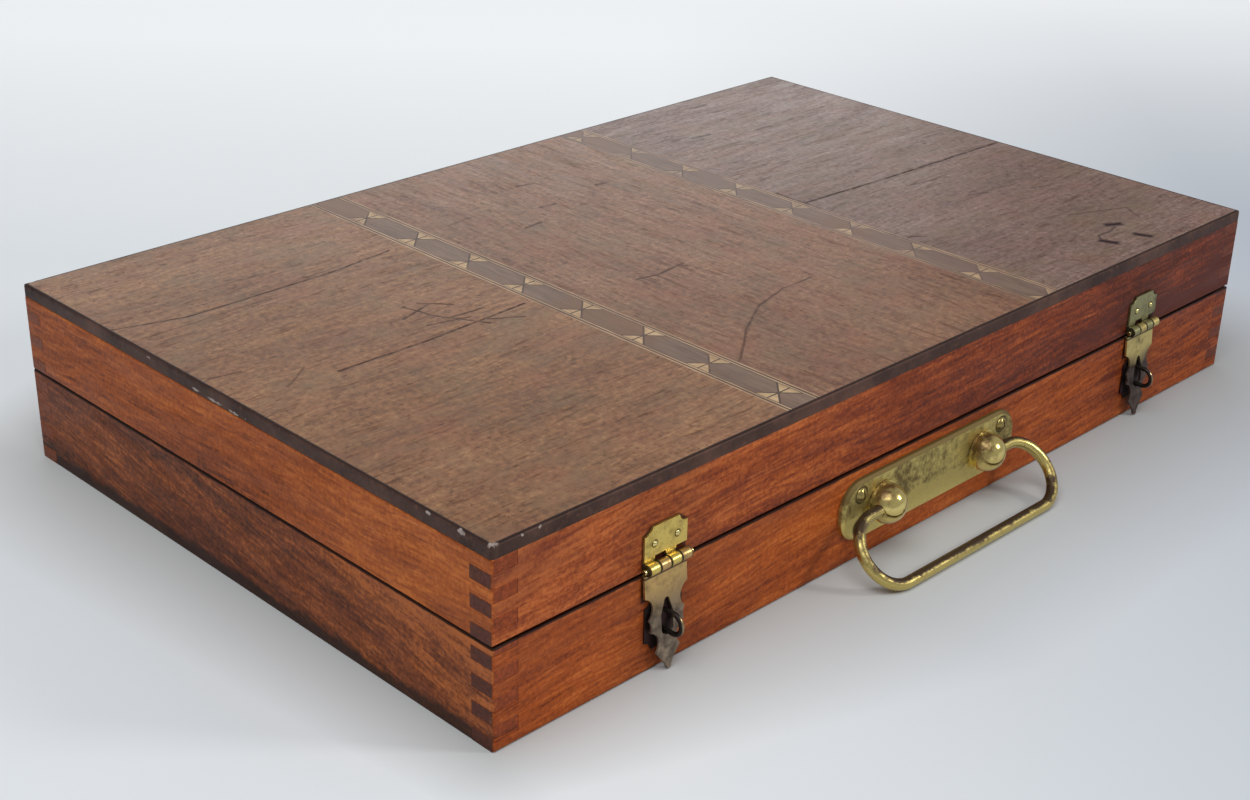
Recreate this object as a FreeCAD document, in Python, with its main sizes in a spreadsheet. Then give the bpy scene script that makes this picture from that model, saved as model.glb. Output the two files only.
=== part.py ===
import FreeCAD, Part
import os
import re
import Sketcher

# Flat hinged wooden case with an inlaid lid, two hasps and a bail handle, in millimetres.
# The origin is the middle of the underside: +X runs right along the front, +Y to the back, +Z up.
# The front, with the hasps and the handle, faces -Y.

# Driving dimensions
SIZES = {
    # Carcase: made as one closed box, then sawn in two at the seam
    "case_width": 420.0,
    "case_depth": 265.0,
    "board_thickness": 10.0,
    "finger_height": 4.9,
    "base_fingers": 8,
    "lid_fingers": 6,
    "saw_kerf": 2.2,
    "seam_gap": 0.6,
    "corner_round": 1.0,
    "bottom_thickness": 4.0,
    "bottom_rebate": 5.0,
    # Lid top
    "core_thickness": 4.0,
    "veneer_thickness": 0.7,
    "edge_width": 1.5,
    "edge_round": 1.0,
    # Inlay bands
    "light_line": 0.7,
    "dark_line": 0.8,
    "motif_half_width": 6.0,
    "motif_pitch": 31.9,
    "motif_outline": 0.7,
    "left_phase": 12.7,
    "right_phase": 0.5,
    "band_shift": -1.8,
    # Butt hinges
    "hinge_inset": 80.0,
    "hinge_length": 38.0,
    "leaf_width": 8.4,
    "leaf_thickness": 1.2,
    "leaf_gap": 0.1,
    "barrel_radius": 2.2,
    "barrel_setback": 0.1,
    "hinge_pin_radius": 1.0,
    "leaf_screw_spacing": 13.0,
    "leaf_screw_head": 2.2,
    "leaf_screw_shank": 1.1,
    "leaf_screw_length": 12.0,
    # Hasps
    "hasp_inset": 71.5,
    "hasp_width": 19.1,
    "hasp_sheet": 0.9,
    "hasp_axis_rise": 1.8,
    "hasp_barrel_radius": 2.0,
    "hasp_pin_radius": 0.9,
    "hasp_pin_overhang": 1.3,
    "plate_notch": 1.8,
    "tongue_notch": 0.8,
    "hasp_tilt": 4.5,
    "plate_rise": 14.1,
    "plate_clip_width": 3.6,
    "plate_clip_height": 2.7,
    "shoulder_drop": 10.5,
    "upper_scoop": 8.5,
    "middle_scoop": 4.4,
    "lower_scoop": 8.4,
    "tip_length": 7.2,
    "waist_half": 6.2,
    "upper_cusp_half": 8.1,
    "middle_waist_half": 7.2,
    "middle_cusp_half": 7.6,
    "lower_waist_half": 4.1,
    "lower_cusp_half": 5.4,
    "tip_waist_half": 2.9,
    "tip_half": 1.1,
    "slot_top_half": 1.2,
    "slot_half": 2.7,
    "slot_neck": 4.4,
    "slot_height": 13.4,
    "slot_drop": 13.0,
    "nail_spacing": 10.2,
    "nail_rise": 8.0,
    "nail_head": 1.15,
    "nail_crown": 0.75,
    "nail_shank": 0.6,
    "nail_length": 7.5,
    # Staples
    "staple_height": 17.8,
    "staple_wire": 0.9,
    "staple_half": 3.7,
    "staple_reach": 5.2,
    "staple_depth": 7.0,
    "staple_plate_half_width": 8.4,
    "staple_plate_half_height": 9.4,
    "staple_plate_sheet": 0.6,
    "staple_plate_scoop": 3.0,
    "plate_pin_radius": 0.7,
    "plate_pin_rise": 7.4,
    "plate_pin_length": 6.5,
    # Handle
    "handle_height": 21.3,
    "backplate_half_length": 50.6,
    "backplate_half_height": 11.9,
    "backplate_round": 10.4,
    "backplate_thickness": 2.5,
    "backplate_bevel": 1.1,
    "post_spacing": 59.2,
    "post_tenon": 2.5,
    "post_collar": 8.0,
    "post_collar_height": 0.9,
    "ball_radius": 7.5,
    "ball_height": 4.9,
    "bail_height": 6.8,
    "rod_radius": 2.2,
    "stub_reach": 2.0,
    "bail_half_width": 54.0,
    "bail_drop": 26.6,
    "floor_clearance": 0.02,
    "handle_screw_spacing": 83.0,
    "handle_screw_rise": 13.0,
    "handle_screw_head": 2.9,
    "handle_screw_crown": 1.6,
    "handle_screw_slot": 0.7,
    "handle_screw_shank": 1.5,
    "handle_screw_length": 9.5,
    # Fits
    "knuckle_gap": 0.2,
    "pin_clearance": 0.05,
    "drill_clearance": 0.03,
}

# Values worked out from the driving dimensions
DERIVED = {
    "half_width": "case_width / 2",
    "half_depth": "case_depth / 2",
    "base_height": "base_fingers * finger_height - saw_kerf",
    "lid_bottom": "base_height + seam_gap",
    "lid_wall_height": "lid_fingers * finger_height",
    "core_bottom": "lid_bottom + lid_wall_height",
    "veneer_bottom": "core_bottom + core_thickness",
    "field_half_width": "half_width - edge_width",
    "field_half_depth": "half_depth - edge_width",
    "panel_half_width": "half_width - board_thickness + bottom_rebate",
    "panel_half_depth": "half_depth - board_thickness + bottom_rebate",
    "left_band": "band_shift - case_width / 6",
    "right_band": "band_shift + case_width / 6",
    "band_half": "motif_half_width + 2 * light_line + dark_line",
    "piece_half": "motif_half_width - motif_outline / 2",
    "motif_count": "ceil(case_depth / motif_pitch) + 1",
    "hinge_offset": "half_width - hinge_inset",
    "hinge_axis_y": "half_depth + barrel_radius + barrel_setback",
    "hinge_axis_z": "base_height + seam_gap / 2",
    "leaf_depth": "leaf_width + barrel_radius + barrel_setback",
    "mortise_depth": "leaf_thickness + leaf_gap / 2 - seam_gap / 2",
    "leaf_screw_line": "half_depth - leaf_width / 2",
    "hasp_offset": "half_width - hasp_inset",
    "hasp_axis_z": "lid_bottom + hasp_axis_rise",
    "upper_cusp_drop": "shoulder_drop + upper_scoop",
    "middle_cusp_drop": "upper_cusp_drop + middle_scoop",
    "lower_cusp_drop": "middle_cusp_drop + lower_scoop",
    "tongue_drop": "lower_cusp_drop + tip_length",
    "slot_bottom": "slot_drop + slot_height",
    "bail_bend": "bail_drop / 2",
    "bail_tilt": "asin(min(1; (handle_height - rod_radius - floor_clearance) / bail_drop))",
}

SIDES = (("left", "-"), ("right", ""))
HINGE_KNUCKLES = 5
HASP_KNUCKLES = 4
QUARTER_ARC = "0.29289"
EVEN_SPACING = -1.0

doc = FreeCAD.newDocument("hinged_case")
nodes = []


# Sheets and expressions

SHEET_OF = {alias: "Sizes" for alias in SIZES}
SHEET_OF.update({alias: "Derived" for alias in DERIVED})


def qualified(text):
    """The expression with each size's name led by the name of its sheet."""
    def with_sheet(match):
        word = match.group()
        return f"{SHEET_OF[word]}.{word}" if word in SHEET_OF else word
    return re.sub(r"[a-z_][a-z_0-9]*", with_sheet, str(text))


def make_sheet(name, cells):
    """Spreadsheet with a name and an aliased cell in each row."""
    sheet = doc.addObject("Spreadsheet::Sheet", name)
    for row, (alias, content) in enumerate(cells.items(), start=1):
        sheet.set(f"A{row}", alias)
        sheet.set(f"B{row}", content)
        sheet.setAlias(f"B{row}", alias)
    return sheet


sizes = make_sheet("Sizes", {alias: str(value) for alias, value in SIZES.items()})
make_sheet("Derived", {alias: "=" + qualified(text) for alias, text in DERIVED.items()})
doc.recompute()


def measure(text):
    """Value of an expression, as a plain number."""
    result = sizes.evalExpression(qualified(text))
    return float(getattr(result, "Value", result))


def bind(item, expressions):
    """Tie an object's properties to expressions."""
    for name, text in expressions.items():
        item.setExpression(name, qualified(text))


def place(item, x="0", y="0", z="0"):
    bind(item, {"Placement.Base.x": x, "Placement.Base.y": y, "Placement.Base.z": z})


def turn(item, axis, angle):
    item.Placement.Rotation = FreeCAD.Rotation(FreeCAD.Vector(*axis), angle)


def keep(item):
    """Count an object as one of the sub-parts that are written out."""
    nodes.append(item)
    return item


# Sketches

def new_body(label):
    body = doc.addObject("PartDesign::Body", label)
    body.Label = label
    body.AllowCompound = True
    return body


def origin_of(body, role):
    return next(item for item in body.Origin.OriginFeatures if item.Role == role)


def new_sketch(body, plane, height="0", across="0"):
    """Sketch on one of the body's own planes, moved along its normal and along its first axis."""
    sketch = body.newObject("Sketcher::SketchObject", body.Label + "_sketch")
    sketch.AttachmentSupport = (origin_of(body, plane), "")
    sketch.MapMode = "FlatFace"
    bind(sketch, {"AttachmentOffset.Base.z": height, "AttachmentOffset.Base.x": across})
    return sketch


def vector(point):
    return FreeCAD.Vector(measure(point[0]), measure(point[1]), 0)


def fix_point(sketch, shape, vertex, point):
    for kind, text in zip(("DistanceX", "DistanceY"), point):
        index = sketch.addConstraint(Sketcher.Constraint(kind, -1, 1, shape, vertex, measure(text)))
        sketch.setExpression(f"Constraints[{index}]", qualified(text))


def add_edge(sketch, start, step):
    """Line or arc from start along a step; gives its number, its first and its last vertex."""
    if len(step) == 1:
        return sketch.addGeometry(Part.LineSegment(vector(start), vector(step[0]))), 1, 2
    middle, end = step
    arc = sketch.addGeometry(Part.Arc(vector(start), vector(middle), vector(end)))
    guide = sketch.addGeometry(Part.Point(vector(middle)), True)
    fix_point(sketch, guide, 1, middle)
    sketch.addConstraint(Sketcher.Constraint("PointOnObject", guide, 1, arc))
    forward = sketch.getPoint(arc, 1).isEqual(vector(start), 1e-6)
    return (arc, 1, 2) if forward else (arc, 2, 1)


def join(sketch, edge, following):
    """Let the end of an edge meet the start of the one that follows it."""
    sketch.addConstraint(Sketcher.Constraint("Coincident", edge[0], edge[2], following[0], following[1]))


def add_path(sketch, start, steps, closed):
    """Chain of steps: (end,) is a line and (middle, end) an arc through its middle."""
    edges = []
    here = start
    for step in steps:
        edge = add_edge(sketch, here, step)
        fix_point(sketch, edge[0], edge[1], here)
        if edges:
            join(sketch, edges[-1], edge)
        edges.append(edge)
        here = step[-1]
    if closed:
        join(sketch, edges[-1], edges[0])
    else:
        fix_point(sketch, edges[-1][0], edges[-1][2], here)


def add_polygon(sketch, points):
    add_path(sketch, points[0], [(point,) for point in points[1:] + points[:1]], closed=True)


def add_rectangle(sketch, low, high):
    add_polygon(sketch, [low, (high[0], low[1]), high, (low[0], high[1])])


def add_circle(sketch, centre, radius):
    circle = sketch.addGeometry(Part.Circle(vector(centre), FreeCAD.Vector(0, 0, 1), measure(radius)))
    fix_point(sketch, circle, 3, centre)
    index = sketch.addConstraint(Sketcher.Constraint("Radius", circle, measure(radius)))
    sketch.setExpression(f"Constraints[{index}]", qualified(radius))


def mirrored(step):
    return tuple((f"-({x})", y) for x, y in step)


def both_halves(start, steps):
    """Steps of a right half, from start on the left of the centre line, closed by its mirror image.

    The right half runs from the mirror image of start; the left half returns to start.
    """
    ends = [mirrored((start,))[0]] + [step[-1] for step in steps]
    back = []
    for index in range(len(steps) - 1, -1, -1):
        middle = steps[index][:-1]
        back.append(mirrored(middle + (ends[index],)))
    return [(ends[0],)] + steps + [(mirrored((ends[-1],))[0],)] + back


# Features

def pad(body, sketch, length):
    feature = body.newObject("PartDesign::Pad", body.Label + "_pad")
    feature.Profile = sketch
    bind(feature, {"Length": length})
    return feature


def pocket(body, sketch, depth=None, along_normal=False):
    """Pocket of a depth, or right through both ways where no depth is given."""
    feature = body.newObject("PartDesign::Pocket", body.Label + "_pocket")
    feature.Profile = sketch
    feature.Reversed = along_normal
    if depth is None:
        feature.Type = "ThroughAll"
        feature.SideType = "Symmetric"
    else:
        bind(feature, {"Length": depth})
    return feature


def revolve(body, sketch, kind="Revolution"):
    """Full turn of a sketch about its own vertical axis."""
    feature = body.newObject("PartDesign::" + kind, body.Label + "_turned")
    feature.Profile = sketch
    feature.ReferenceAxis = (sketch, ["V_Axis"])
    feature.Angle = 360
    return feature


def repeat(body, features, axis, spacing, count, second=None):
    """Row of copies along an axis; second gives the axis, spacing and count of further rows."""
    feature = body.newObject("PartDesign::LinearPattern", body.Label + "_row")
    feature.Originals = features
    feature.Direction = (origin_of(body, axis), [""])
    feature.Mode = "Spacing"
    bind(feature, {"Offset": spacing, "Occurrences": count})
    if second:
        feature.Direction2 = (origin_of(body, second[0]), [""])
        feature.Mode2 = "Spacing"
        bind(feature, {"Offset2": second[1], "Occurrences2": second[2]})
        feature.Spacings2 = [EVEN_SPACING] * (int(measure(second[2])) - 1)
    body.Tip = feature
    return feature


def dress(body, kind, wanted, size_name, size):
    """Fillet or chamfer on the edges whose end points are all wanted."""
    doc.recompute()
    tip = body.Tip
    names = []
    for number, edge in enumerate(tip.Shape.Edges, start=1):
        if all(wanted(vertex.Point) for vertex in edge.Vertexes):
            names.append(f"Edge{number}")
    feature = body.newObject("PartDesign::" + kind, body.Label + "_" + kind.lower())
    feature.Base = (tip, names)
    bind(feature, {size_name: size})
    return feature


def pipe(body, profile, spine):
    doc.recompute()
    feature = body.newObject("PartDesign::AdditivePipe", body.Label + "_pipe")
    feature.Profile = profile
    feature.Spine = (spine, [f"Edge{number}" for number in range(1, len(spine.Shape.Edges) + 1)])
    return feature


def box(label, low, high):
    """Box between two corners, each given as three expressions."""
    item = doc.addObject("Part::Box", label)
    item.Label = label
    spans = [f"({far}) - ({near})" for near, far in zip(low, high)]
    bind(item, dict(zip(("Length", "Width", "Height"), spans)))
    place(item, *low)
    return item


def group(label, items):
    item = doc.addObject("Part::Compound", label)
    item.Label = label
    item.Links = items
    return item


def boolean(label, kind, base, tool):
    item = doc.addObject("Part::" + kind, label)
    item.Label = label
    item.Base = base
    item.Tool = tool
    return item


def near(value, target):
    return abs(value - target) < 1e-4


# Carcase boards

def round_outer_corners(body):
    """Ease the board's vertical edges that lie on the case's own corners."""
    half_width = measure("half_width")
    half_depth = measure("half_depth")
    dress(body, "Fillet", lambda at: near(abs(at.x), half_width) and near(abs(at.y), half_depth),
          "Radius", "corner_round")


def add_board(label, plane, face, half_length, level):
    """Board with finger notches at both ends; level gives bottom, height, first notch and notch count."""
    bottom, height, first, count = level
    body = new_body(label)
    outline = new_sketch(body, plane, face)
    add_rectangle(outline, (f"-{half_length}", bottom), (half_length, f"{bottom} + {height}"))
    pad(body, outline, "board_thickness")
    notches = new_sketch(body, plane, face)
    low = f"{bottom} + {first}"
    high = f"{low} + finger_height"
    inner = f"{half_length} - board_thickness"
    add_rectangle(notches, (inner, low), (half_length, high))
    add_rectangle(notches, (f"-{half_length}", low), (f"-({inner})", high))
    repeat(body, [pocket(body, notches)], "Z_Axis", "2 * finger_height", count)
    return body


def add_long_board(label, level, turned):
    """Front board, or the back board as the same board turned round."""
    body = add_board(label, "XZ_Plane", "half_depth - board_thickness", "half_width", level)
    turn(body, (0, 0, 1), 180 if turned else 0)
    return body


def add_short_board(label, level, turned):
    """Left board, or the right board as the same board turned round."""
    body = add_board(label, "YZ_Plane", "-half_width", "half_depth", level)
    turn(body, (0, 0, 1), 180 if turned else 0)
    return body


def add_bottom_rebate(body, plane, face, half_length, along_normal):
    sketch = new_sketch(body, plane, face)
    add_rectangle(sketch, (f"-{half_length}", "0"), (half_length, "bottom_thickness"))
    pocket(body, sketch, "bottom_rebate", along_normal)


def drill_front(body, holes, depth):
    """Blind holes in a front board's outer face, each (x, z, radius)."""
    sketch = new_sketch(body, "XZ_Plane", "half_depth")
    for x, z, radius in holes:
        add_circle(sketch, (x, z), f"{radius} + drill_clearance")
    pocket(body, sketch, depth)


def mirrored_columns(offset, half_spacing):
    """X positions of a pair on each side of the case's middle."""
    return [f"{side}{offset} {step} {half_spacing}" for _, side in SIDES for step in "-+"]


def add_hinge_seats(body, level, along_normal):
    """Mortises and screw holes for the hinge leaves in a back board's edge."""
    mortises = new_sketch(body, "XY_Plane", level)
    holes = new_sketch(body, "XY_Plane", level)
    for _, side in SIDES:
        centre = f"{side}hinge_offset"
        add_rectangle(mortises, (f"{centre} - hinge_length / 2", "-half_depth"),
                      (f"{centre} + hinge_length / 2", "-half_depth + leaf_width"))
        for step in ("- leaf_screw_spacing", "", "+ leaf_screw_spacing"):
            place_of_screw = (f"{centre} {step}", "-leaf_screw_line")
            add_circle(holes, place_of_screw, "leaf_screw_shank + drill_clearance")
    pocket(body, mortises, "mortise_depth", along_normal)
    pocket(body, holes, "leaf_screw_length + seam_gap", along_normal)


def build_boards():
    base_long = ("0", "base_height", "finger_height", "floor(base_fingers / 2)")
    base_short = ("0", "base_height", "0", "ceil(base_fingers / 2)")
    lid_long = ("lid_bottom", "lid_wall_height", "finger_height", "floor(lid_fingers / 2)")
    lid_short = ("lid_bottom", "lid_wall_height", "0", "ceil(lid_fingers / 2)")

    base_front = add_long_board("base_front_board", base_long, False)
    base_back = add_long_board("base_back_board", base_long, True)
    base_left = add_short_board("base_left_board", base_short, False)
    base_right = add_short_board("base_right_board", base_short, True)
    for body in (base_front, base_back):
        add_bottom_rebate(body, "XZ_Plane", "half_depth - board_thickness", "panel_half_width", True)
    for body in (base_left, base_right):
        add_bottom_rebate(body, "YZ_Plane", "-half_width + board_thickness", "panel_half_depth", False)

    lid_front = add_long_board("lid_front_board", lid_long, False)
    lid_back = add_long_board("lid_back_board", lid_long, True)
    lid_left = add_short_board("lid_left_board", lid_short, False)
    lid_right = add_short_board("lid_right_board", lid_short, True)

    boards = (base_front, base_back, base_left, base_right, lid_front, lid_back, lid_left, lid_right)
    for body in boards:
        round_outer_corners(body)

    drill_handle_and_staples(base_front)
    nail_columns = mirrored_columns("hasp_offset", "nail_spacing / 2")
    drill_front(lid_front, [(x, "hasp_axis_z + nail_rise", "nail_shank") for x in nail_columns],
                "nail_length - hasp_sheet + drill_clearance")
    add_hinge_seats(base_back, "base_height", False)
    add_hinge_seats(lid_back, "lid_bottom", True)
    for body in boards:
        keep(body)


def drill_handle_and_staples(body):
    columns = [f"{x}handle_screw_spacing / 2" for x in ("-", "")]
    rows = [f"handle_height {z} handle_screw_rise / 2" for z in "-+"]
    screws = [(x, z, "handle_screw_shank") for x in columns for z in rows]
    drill_front(body, screws, "handle_screw_length - backplate_thickness + drill_clearance")
    columns = [f"{side}hasp_offset" for _, side in SIDES]
    legs = [(x, f"staple_height {z} staple_half", "staple_wire") for x in columns for z in "-+"]
    drill_front(body, legs, "staple_depth + drill_clearance")
    pins = [(x, f"staple_height {z} plate_pin_rise", "plate_pin_radius") for x in columns for z in "-+"]
    drill_front(body, pins, "plate_pin_length - staple_plate_sheet + drill_clearance")


# Panels, lid edge and veneer

def build_panels():
    keep(box("base_bottom_panel", ("-panel_half_width", "-panel_half_depth", "0"),
             ("panel_half_width", "panel_half_depth", "bottom_thickness")))
    keep(box("lid_core_panel", ("-field_half_width", "-field_half_depth", "core_bottom"),
             ("field_half_width", "field_half_depth", "veneer_bottom")))


def add_edge_strip(label, half_length, half_span, angle):
    """Mitred strip along the front of a span, with a rounded outer edge, turned to its own side."""
    body = new_body(label)
    outline = new_sketch(body, "XY_Plane", "core_bottom")
    add_polygon(outline, [
        (f"-{half_length} + corner_round", f"-{half_span}"),
        (f"{half_length} - corner_round", f"-{half_span}"),
        (f"{half_length} - corner_round / 2", f"-{half_span} + corner_round / 2"),
        (f"{half_length} - edge_width", f"-{half_span} + edge_width"),
        (f"-{half_length} + edge_width", f"-{half_span} + edge_width"),
        (f"-{half_length} + corner_round / 2", f"-{half_span} + corner_round / 2"),
    ])
    pad(body, outline, "core_thickness + veneer_thickness")
    top = measure("veneer_bottom + veneer_thickness")
    outer = -measure(half_span)
    dress(body, "Fillet", lambda at: near(at.y, outer) and near(at.z, top), "Radius", "edge_round")
    turn(body, (0, 0, 1), angle)
    keep(body)


def build_lid_edge():
    add_edge_strip("lid_edge_front", "half_width", "half_depth", 0)
    add_edge_strip("lid_edge_right", "half_depth", "half_width", 90)
    add_edge_strip("lid_edge_back", "half_width", "half_depth", 180)
    add_edge_strip("lid_edge_left", "half_depth", "half_width", 270)


def veneer_slab(label, low_x, high_x):
    """Slab of veneer from front to back between two x positions."""
    return box(label, (low_x, "-field_half_depth", "veneer_bottom"),
               (high_x, "field_half_depth", "veneer_bottom + veneer_thickness"))


def build_veneer():
    keep(veneer_slab("veneer_left", "-field_half_width", "left_band - band_half"))
    keep(veneer_slab("veneer_centre", "left_band + band_half", "right_band - band_half"))
    keep(veneer_slab("veneer_right", "right_band + band_half", "field_half_width"))


# Inlay bands

def motif_row(label, centre, first, draw):
    """Row of inlay pieces along a band, drawn about the first junction, before it is trimmed."""
    body = new_body(label)
    sketch = new_sketch(body, "XY_Plane", "veneer_bottom")
    draw(sketch)
    repeat(body, [pad(body, sketch, "veneer_thickness")], "Y_Axis", "motif_pitch", "motif_count")
    place(body, centre, first)
    return body


def draw_lozenge(sketch):
    """Long hexagon from one junction to the next, with tapers of 45 degrees."""
    tip = "motif_outline * sqrt(2) / 2"
    shoulder = f"piece_half + {tip}"
    far_tip = f"motif_pitch - {tip}"
    far_shoulder = f"motif_pitch - ({shoulder})"
    add_polygon(sketch, [("0", tip), ("piece_half", shoulder), ("piece_half", far_shoulder),
                         ("0", far_tip), ("-piece_half", far_shoulder), ("-piece_half", shoulder)])


def draw_triangles(sketch):
    """Four right triangles that fill the corners round a junction."""
    start = "motif_outline / 2 * (1 + sqrt(2))"
    reach = "piece_half - motif_outline * sqrt(2) / 2"
    for x in ("-", ""):
        for y in ("-", ""):
            add_polygon(sketch, [(f"{x}({start})", f"{y}motif_outline / 2"),
                                 (f"{x}piece_half", f"{y}motif_outline / 2"),
                                 (f"{x}piece_half", f"{y}({reach})")])


def add_line_pair(label, centre, near_edge, far_edge):
    """Two lines of a band, one on each side of its centre."""
    return [veneer_slab(label, f"{centre} - ({far_edge})", f"{centre} - ({near_edge})"),
            veneer_slab(label, f"{centre} + {near_edge}", f"{centre} + {far_edge}")]


def build_band(side):
    """One band: two pairs of light lines, lozenges and triangles set in a dark ground."""
    centre = f"{side}_band"
    first = f"mod({side}_phase; motif_pitch) - motif_pitch - half_depth"
    trim = veneer_slab(f"{side}_band_zone", f"{centre} - motif_half_width", f"{centre} + motif_half_width")
    lozenge_row = motif_row(f"{side}_lozenge_row", centre, first, draw_lozenge)
    triangle_row = motif_row(f"{side}_triangle_row", centre, first, draw_triangles)
    lozenges = keep(boolean(f"band_{side}_lozenges", "Common", lozenge_row, trim))
    triangles = keep(boolean(f"band_{side}_triangles", "Common", triangle_row, trim))
    net = boolean(f"{side}_band_net", "Cut", trim, group(f"{side}_band_pieces", [lozenges, triangles]))

    inner = "motif_half_width"
    dark_start = f"{inner} + light_line"
    dark_end = f"{dark_start} + dark_line"
    light = add_line_pair(f"{side}_inner_light_line", centre, inner, dark_start)
    light += add_line_pair(f"{side}_outer_light_line", centre, dark_end, "band_half")
    dark = add_line_pair(f"{side}_dark_line", centre, dark_start, dark_end)
    keep(group(f"band_{side}_stringing", light))
    keep(group(f"band_{side}_ground", [net] + dark))


# Knuckles, shared by the butt hinges and the hasps

def add_knuckles(body, radius, pitch, start, count):
    """Own knuckles, one at start and one at every second place after it."""
    sketch = new_sketch(body, "YZ_Plane", f"{start} + knuckle_gap / 2")
    add_circle(sketch, ("0", "0"), radius)
    barrel = pad(body, sketch, f"{pitch} - knuckle_gap")
    repeat(body, [barrel], "X_Axis", f"2 * ({pitch})", count)


def clear_knuckles(body, radius, pitch, start, count):
    """Room for the other leaf's knuckles."""
    sketch = new_sketch(body, "YZ_Plane", f"{start} - knuckle_gap / 2")
    add_circle(sketch, ("0", "0"), radius)
    room = pocket(body, sketch, f"{pitch} + knuckle_gap", True)
    repeat(body, [room], "X_Axis", f"2 * ({pitch})", count)


def bore_knuckles(body, pin_radius):
    sketch = new_sketch(body, "YZ_Plane")
    add_circle(sketch, ("0", "0"), f"{pin_radius} + pin_clearance")
    pocket(body, sketch)


def add_pin(label, radius, length, x, y, z):
    """Hinge pin along X, centred on its place."""
    pin = doc.addObject("Part::Cylinder", label)
    pin.Label = label
    bind(pin, {"Radius": radius, "Height": length})
    turn(pin, (0, 1, 0), 90)
    place(pin, f"{x} - ({length}) / 2", y, z)
    keep(pin)


# Butt hinges

def draw_leaf_screw(sketch, clearance):
    """Half of a flat-head screw; its top is level with the leaf's inner face."""
    top = "-leaf_gap / 2"
    cone = f"{top} - (leaf_screw_head - leaf_screw_shank)"
    end = f"{top} - leaf_screw_length"
    head = f"leaf_screw_head + {clearance}"
    shank = f"leaf_screw_shank + {clearance}"
    add_polygon(sketch, [("0", top), (head, top), (shank, cone), (shank, end), ("0", end)])


def add_leaf(label, side, own, other, flipped):
    """Leaf about its pin; own and other give the first place and the count of each leaf's knuckles."""
    pitch = f"hinge_length / {HINGE_KNUCKLES}"
    body = new_body(label)
    sheet = new_sketch(body, "XY_Plane", "-leaf_gap / 2 - leaf_thickness")
    add_rectangle(sheet, ("-hinge_length / 2", "-leaf_depth"), ("hinge_length / 2", "0"))
    pad(body, sheet, "leaf_thickness")
    start = f"-hinge_length / 2 + {other[0]} * {pitch}"
    clear_knuckles(body, "barrel_radius + knuckle_gap", pitch, start, other[1])
    start = f"-hinge_length / 2 + {own[0]} * {pitch}"
    add_knuckles(body, "barrel_radius", pitch, start, own[1])
    bore_knuckles(body, "hinge_pin_radius")
    countersink = new_sketch(body, "XZ_Plane", "leaf_depth - leaf_width / 2", "-leaf_screw_spacing")
    draw_leaf_screw(countersink, "drill_clearance")
    repeat(body, [revolve(body, countersink, "Groove")], "X_Axis", "leaf_screw_spacing", "3")
    turn(body, (0, 1, 0), 180 if flipped else 0)
    place(body, f"{side}hinge_offset", "hinge_axis_y", "hinge_axis_z")
    keep(body)


def add_leaf_screws(label, flipped):
    """All the screws of one pair of leaves."""
    body = new_body(label)
    profile = new_sketch(body, "XZ_Plane")
    draw_leaf_screw(profile, "0")
    repeat(body, [revolve(body, profile)], "X_Axis", "leaf_screw_spacing", "3",
           ("X_Axis", "2 * hinge_offset", "2"))
    first = "hinge_offset + leaf_screw_spacing"
    turn(body, (0, 1, 0), 180 if flipped else 0)
    place(body, first if flipped else f"-({first})", "leaf_screw_line", "hinge_axis_z")
    keep(body)


def build_hinges():
    base_knuckles = (0, 3)
    lid_knuckles = (1, 2)
    for name, side in SIDES:
        add_leaf(f"hinge_{name}_base_leaf", side, base_knuckles, lid_knuckles, False)
        add_leaf(f"hinge_{name}_lid_leaf", side, lid_knuckles, base_knuckles, True)
        add_pin(f"hinge_{name}_pin", "hinge_pin_radius", "hinge_length",
                f"{side}hinge_offset", "hinge_axis_y", "hinge_axis_z")
    add_leaf_screws("hinge_base_screws", False)
    add_leaf_screws("hinge_lid_screws", True)


# Hasps

def begin_hasp_leaf(label, start, steps):
    """Sheet of a hasp leaf behind its pin, from an outline."""
    body = new_body(label)
    sketch = new_sketch(body, "XZ_Plane", "-hasp_barrel_radius")
    add_path(sketch, start, steps, closed=True)
    pad(body, sketch, "hasp_sheet")
    return body


def finish_hasp_leaf(body, own, other, notch):
    """Knuckles of a hasp leaf; own and other are the first places of each leaf's knuckles."""
    pitch = f"hasp_width / {HASP_KNUCKLES}"
    count = HASP_KNUCKLES // 2
    start = f"-hasp_width / 2 + {other} * {pitch}"
    clear_knuckles(body, f"hasp_barrel_radius + {notch}", pitch, start, count)
    start = f"-hasp_width / 2 + {own} * {pitch}"
    add_knuckles(body, "hasp_barrel_radius", pitch, start, count)
    bore_knuckles(body, "hasp_pin_radius")


def add_lid_plate(name, side):
    """Fixed plate with two scooped top corners."""
    start = ("-hasp_width / 2", "0")
    clip = "hasp_width / 2 - plate_clip_width"
    scoop = (f"{clip} + 0.3 * plate_clip_width", "plate_rise - 0.7 * plate_clip_height")
    steps = both_halves(start, [
        (("hasp_width / 2", "plate_rise - plate_clip_height"),),
        (scoop, (clip, "plate_rise")),
    ])
    body = begin_hasp_leaf(f"hasp_{name}_lid_plate", start, steps)
    finish_hasp_leaf(body, 0, 1, "plate_notch")
    holes = new_sketch(body, "XZ_Plane")
    for step in ("-", ""):
        add_circle(holes, (f"{step}nail_spacing / 2", "nail_rise"), "nail_shank + drill_clearance")
    pocket(body, holes)
    place(body, f"{side}hasp_offset", "-half_depth - hasp_barrel_radius", "hasp_axis_z")
    keep(body)


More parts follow.
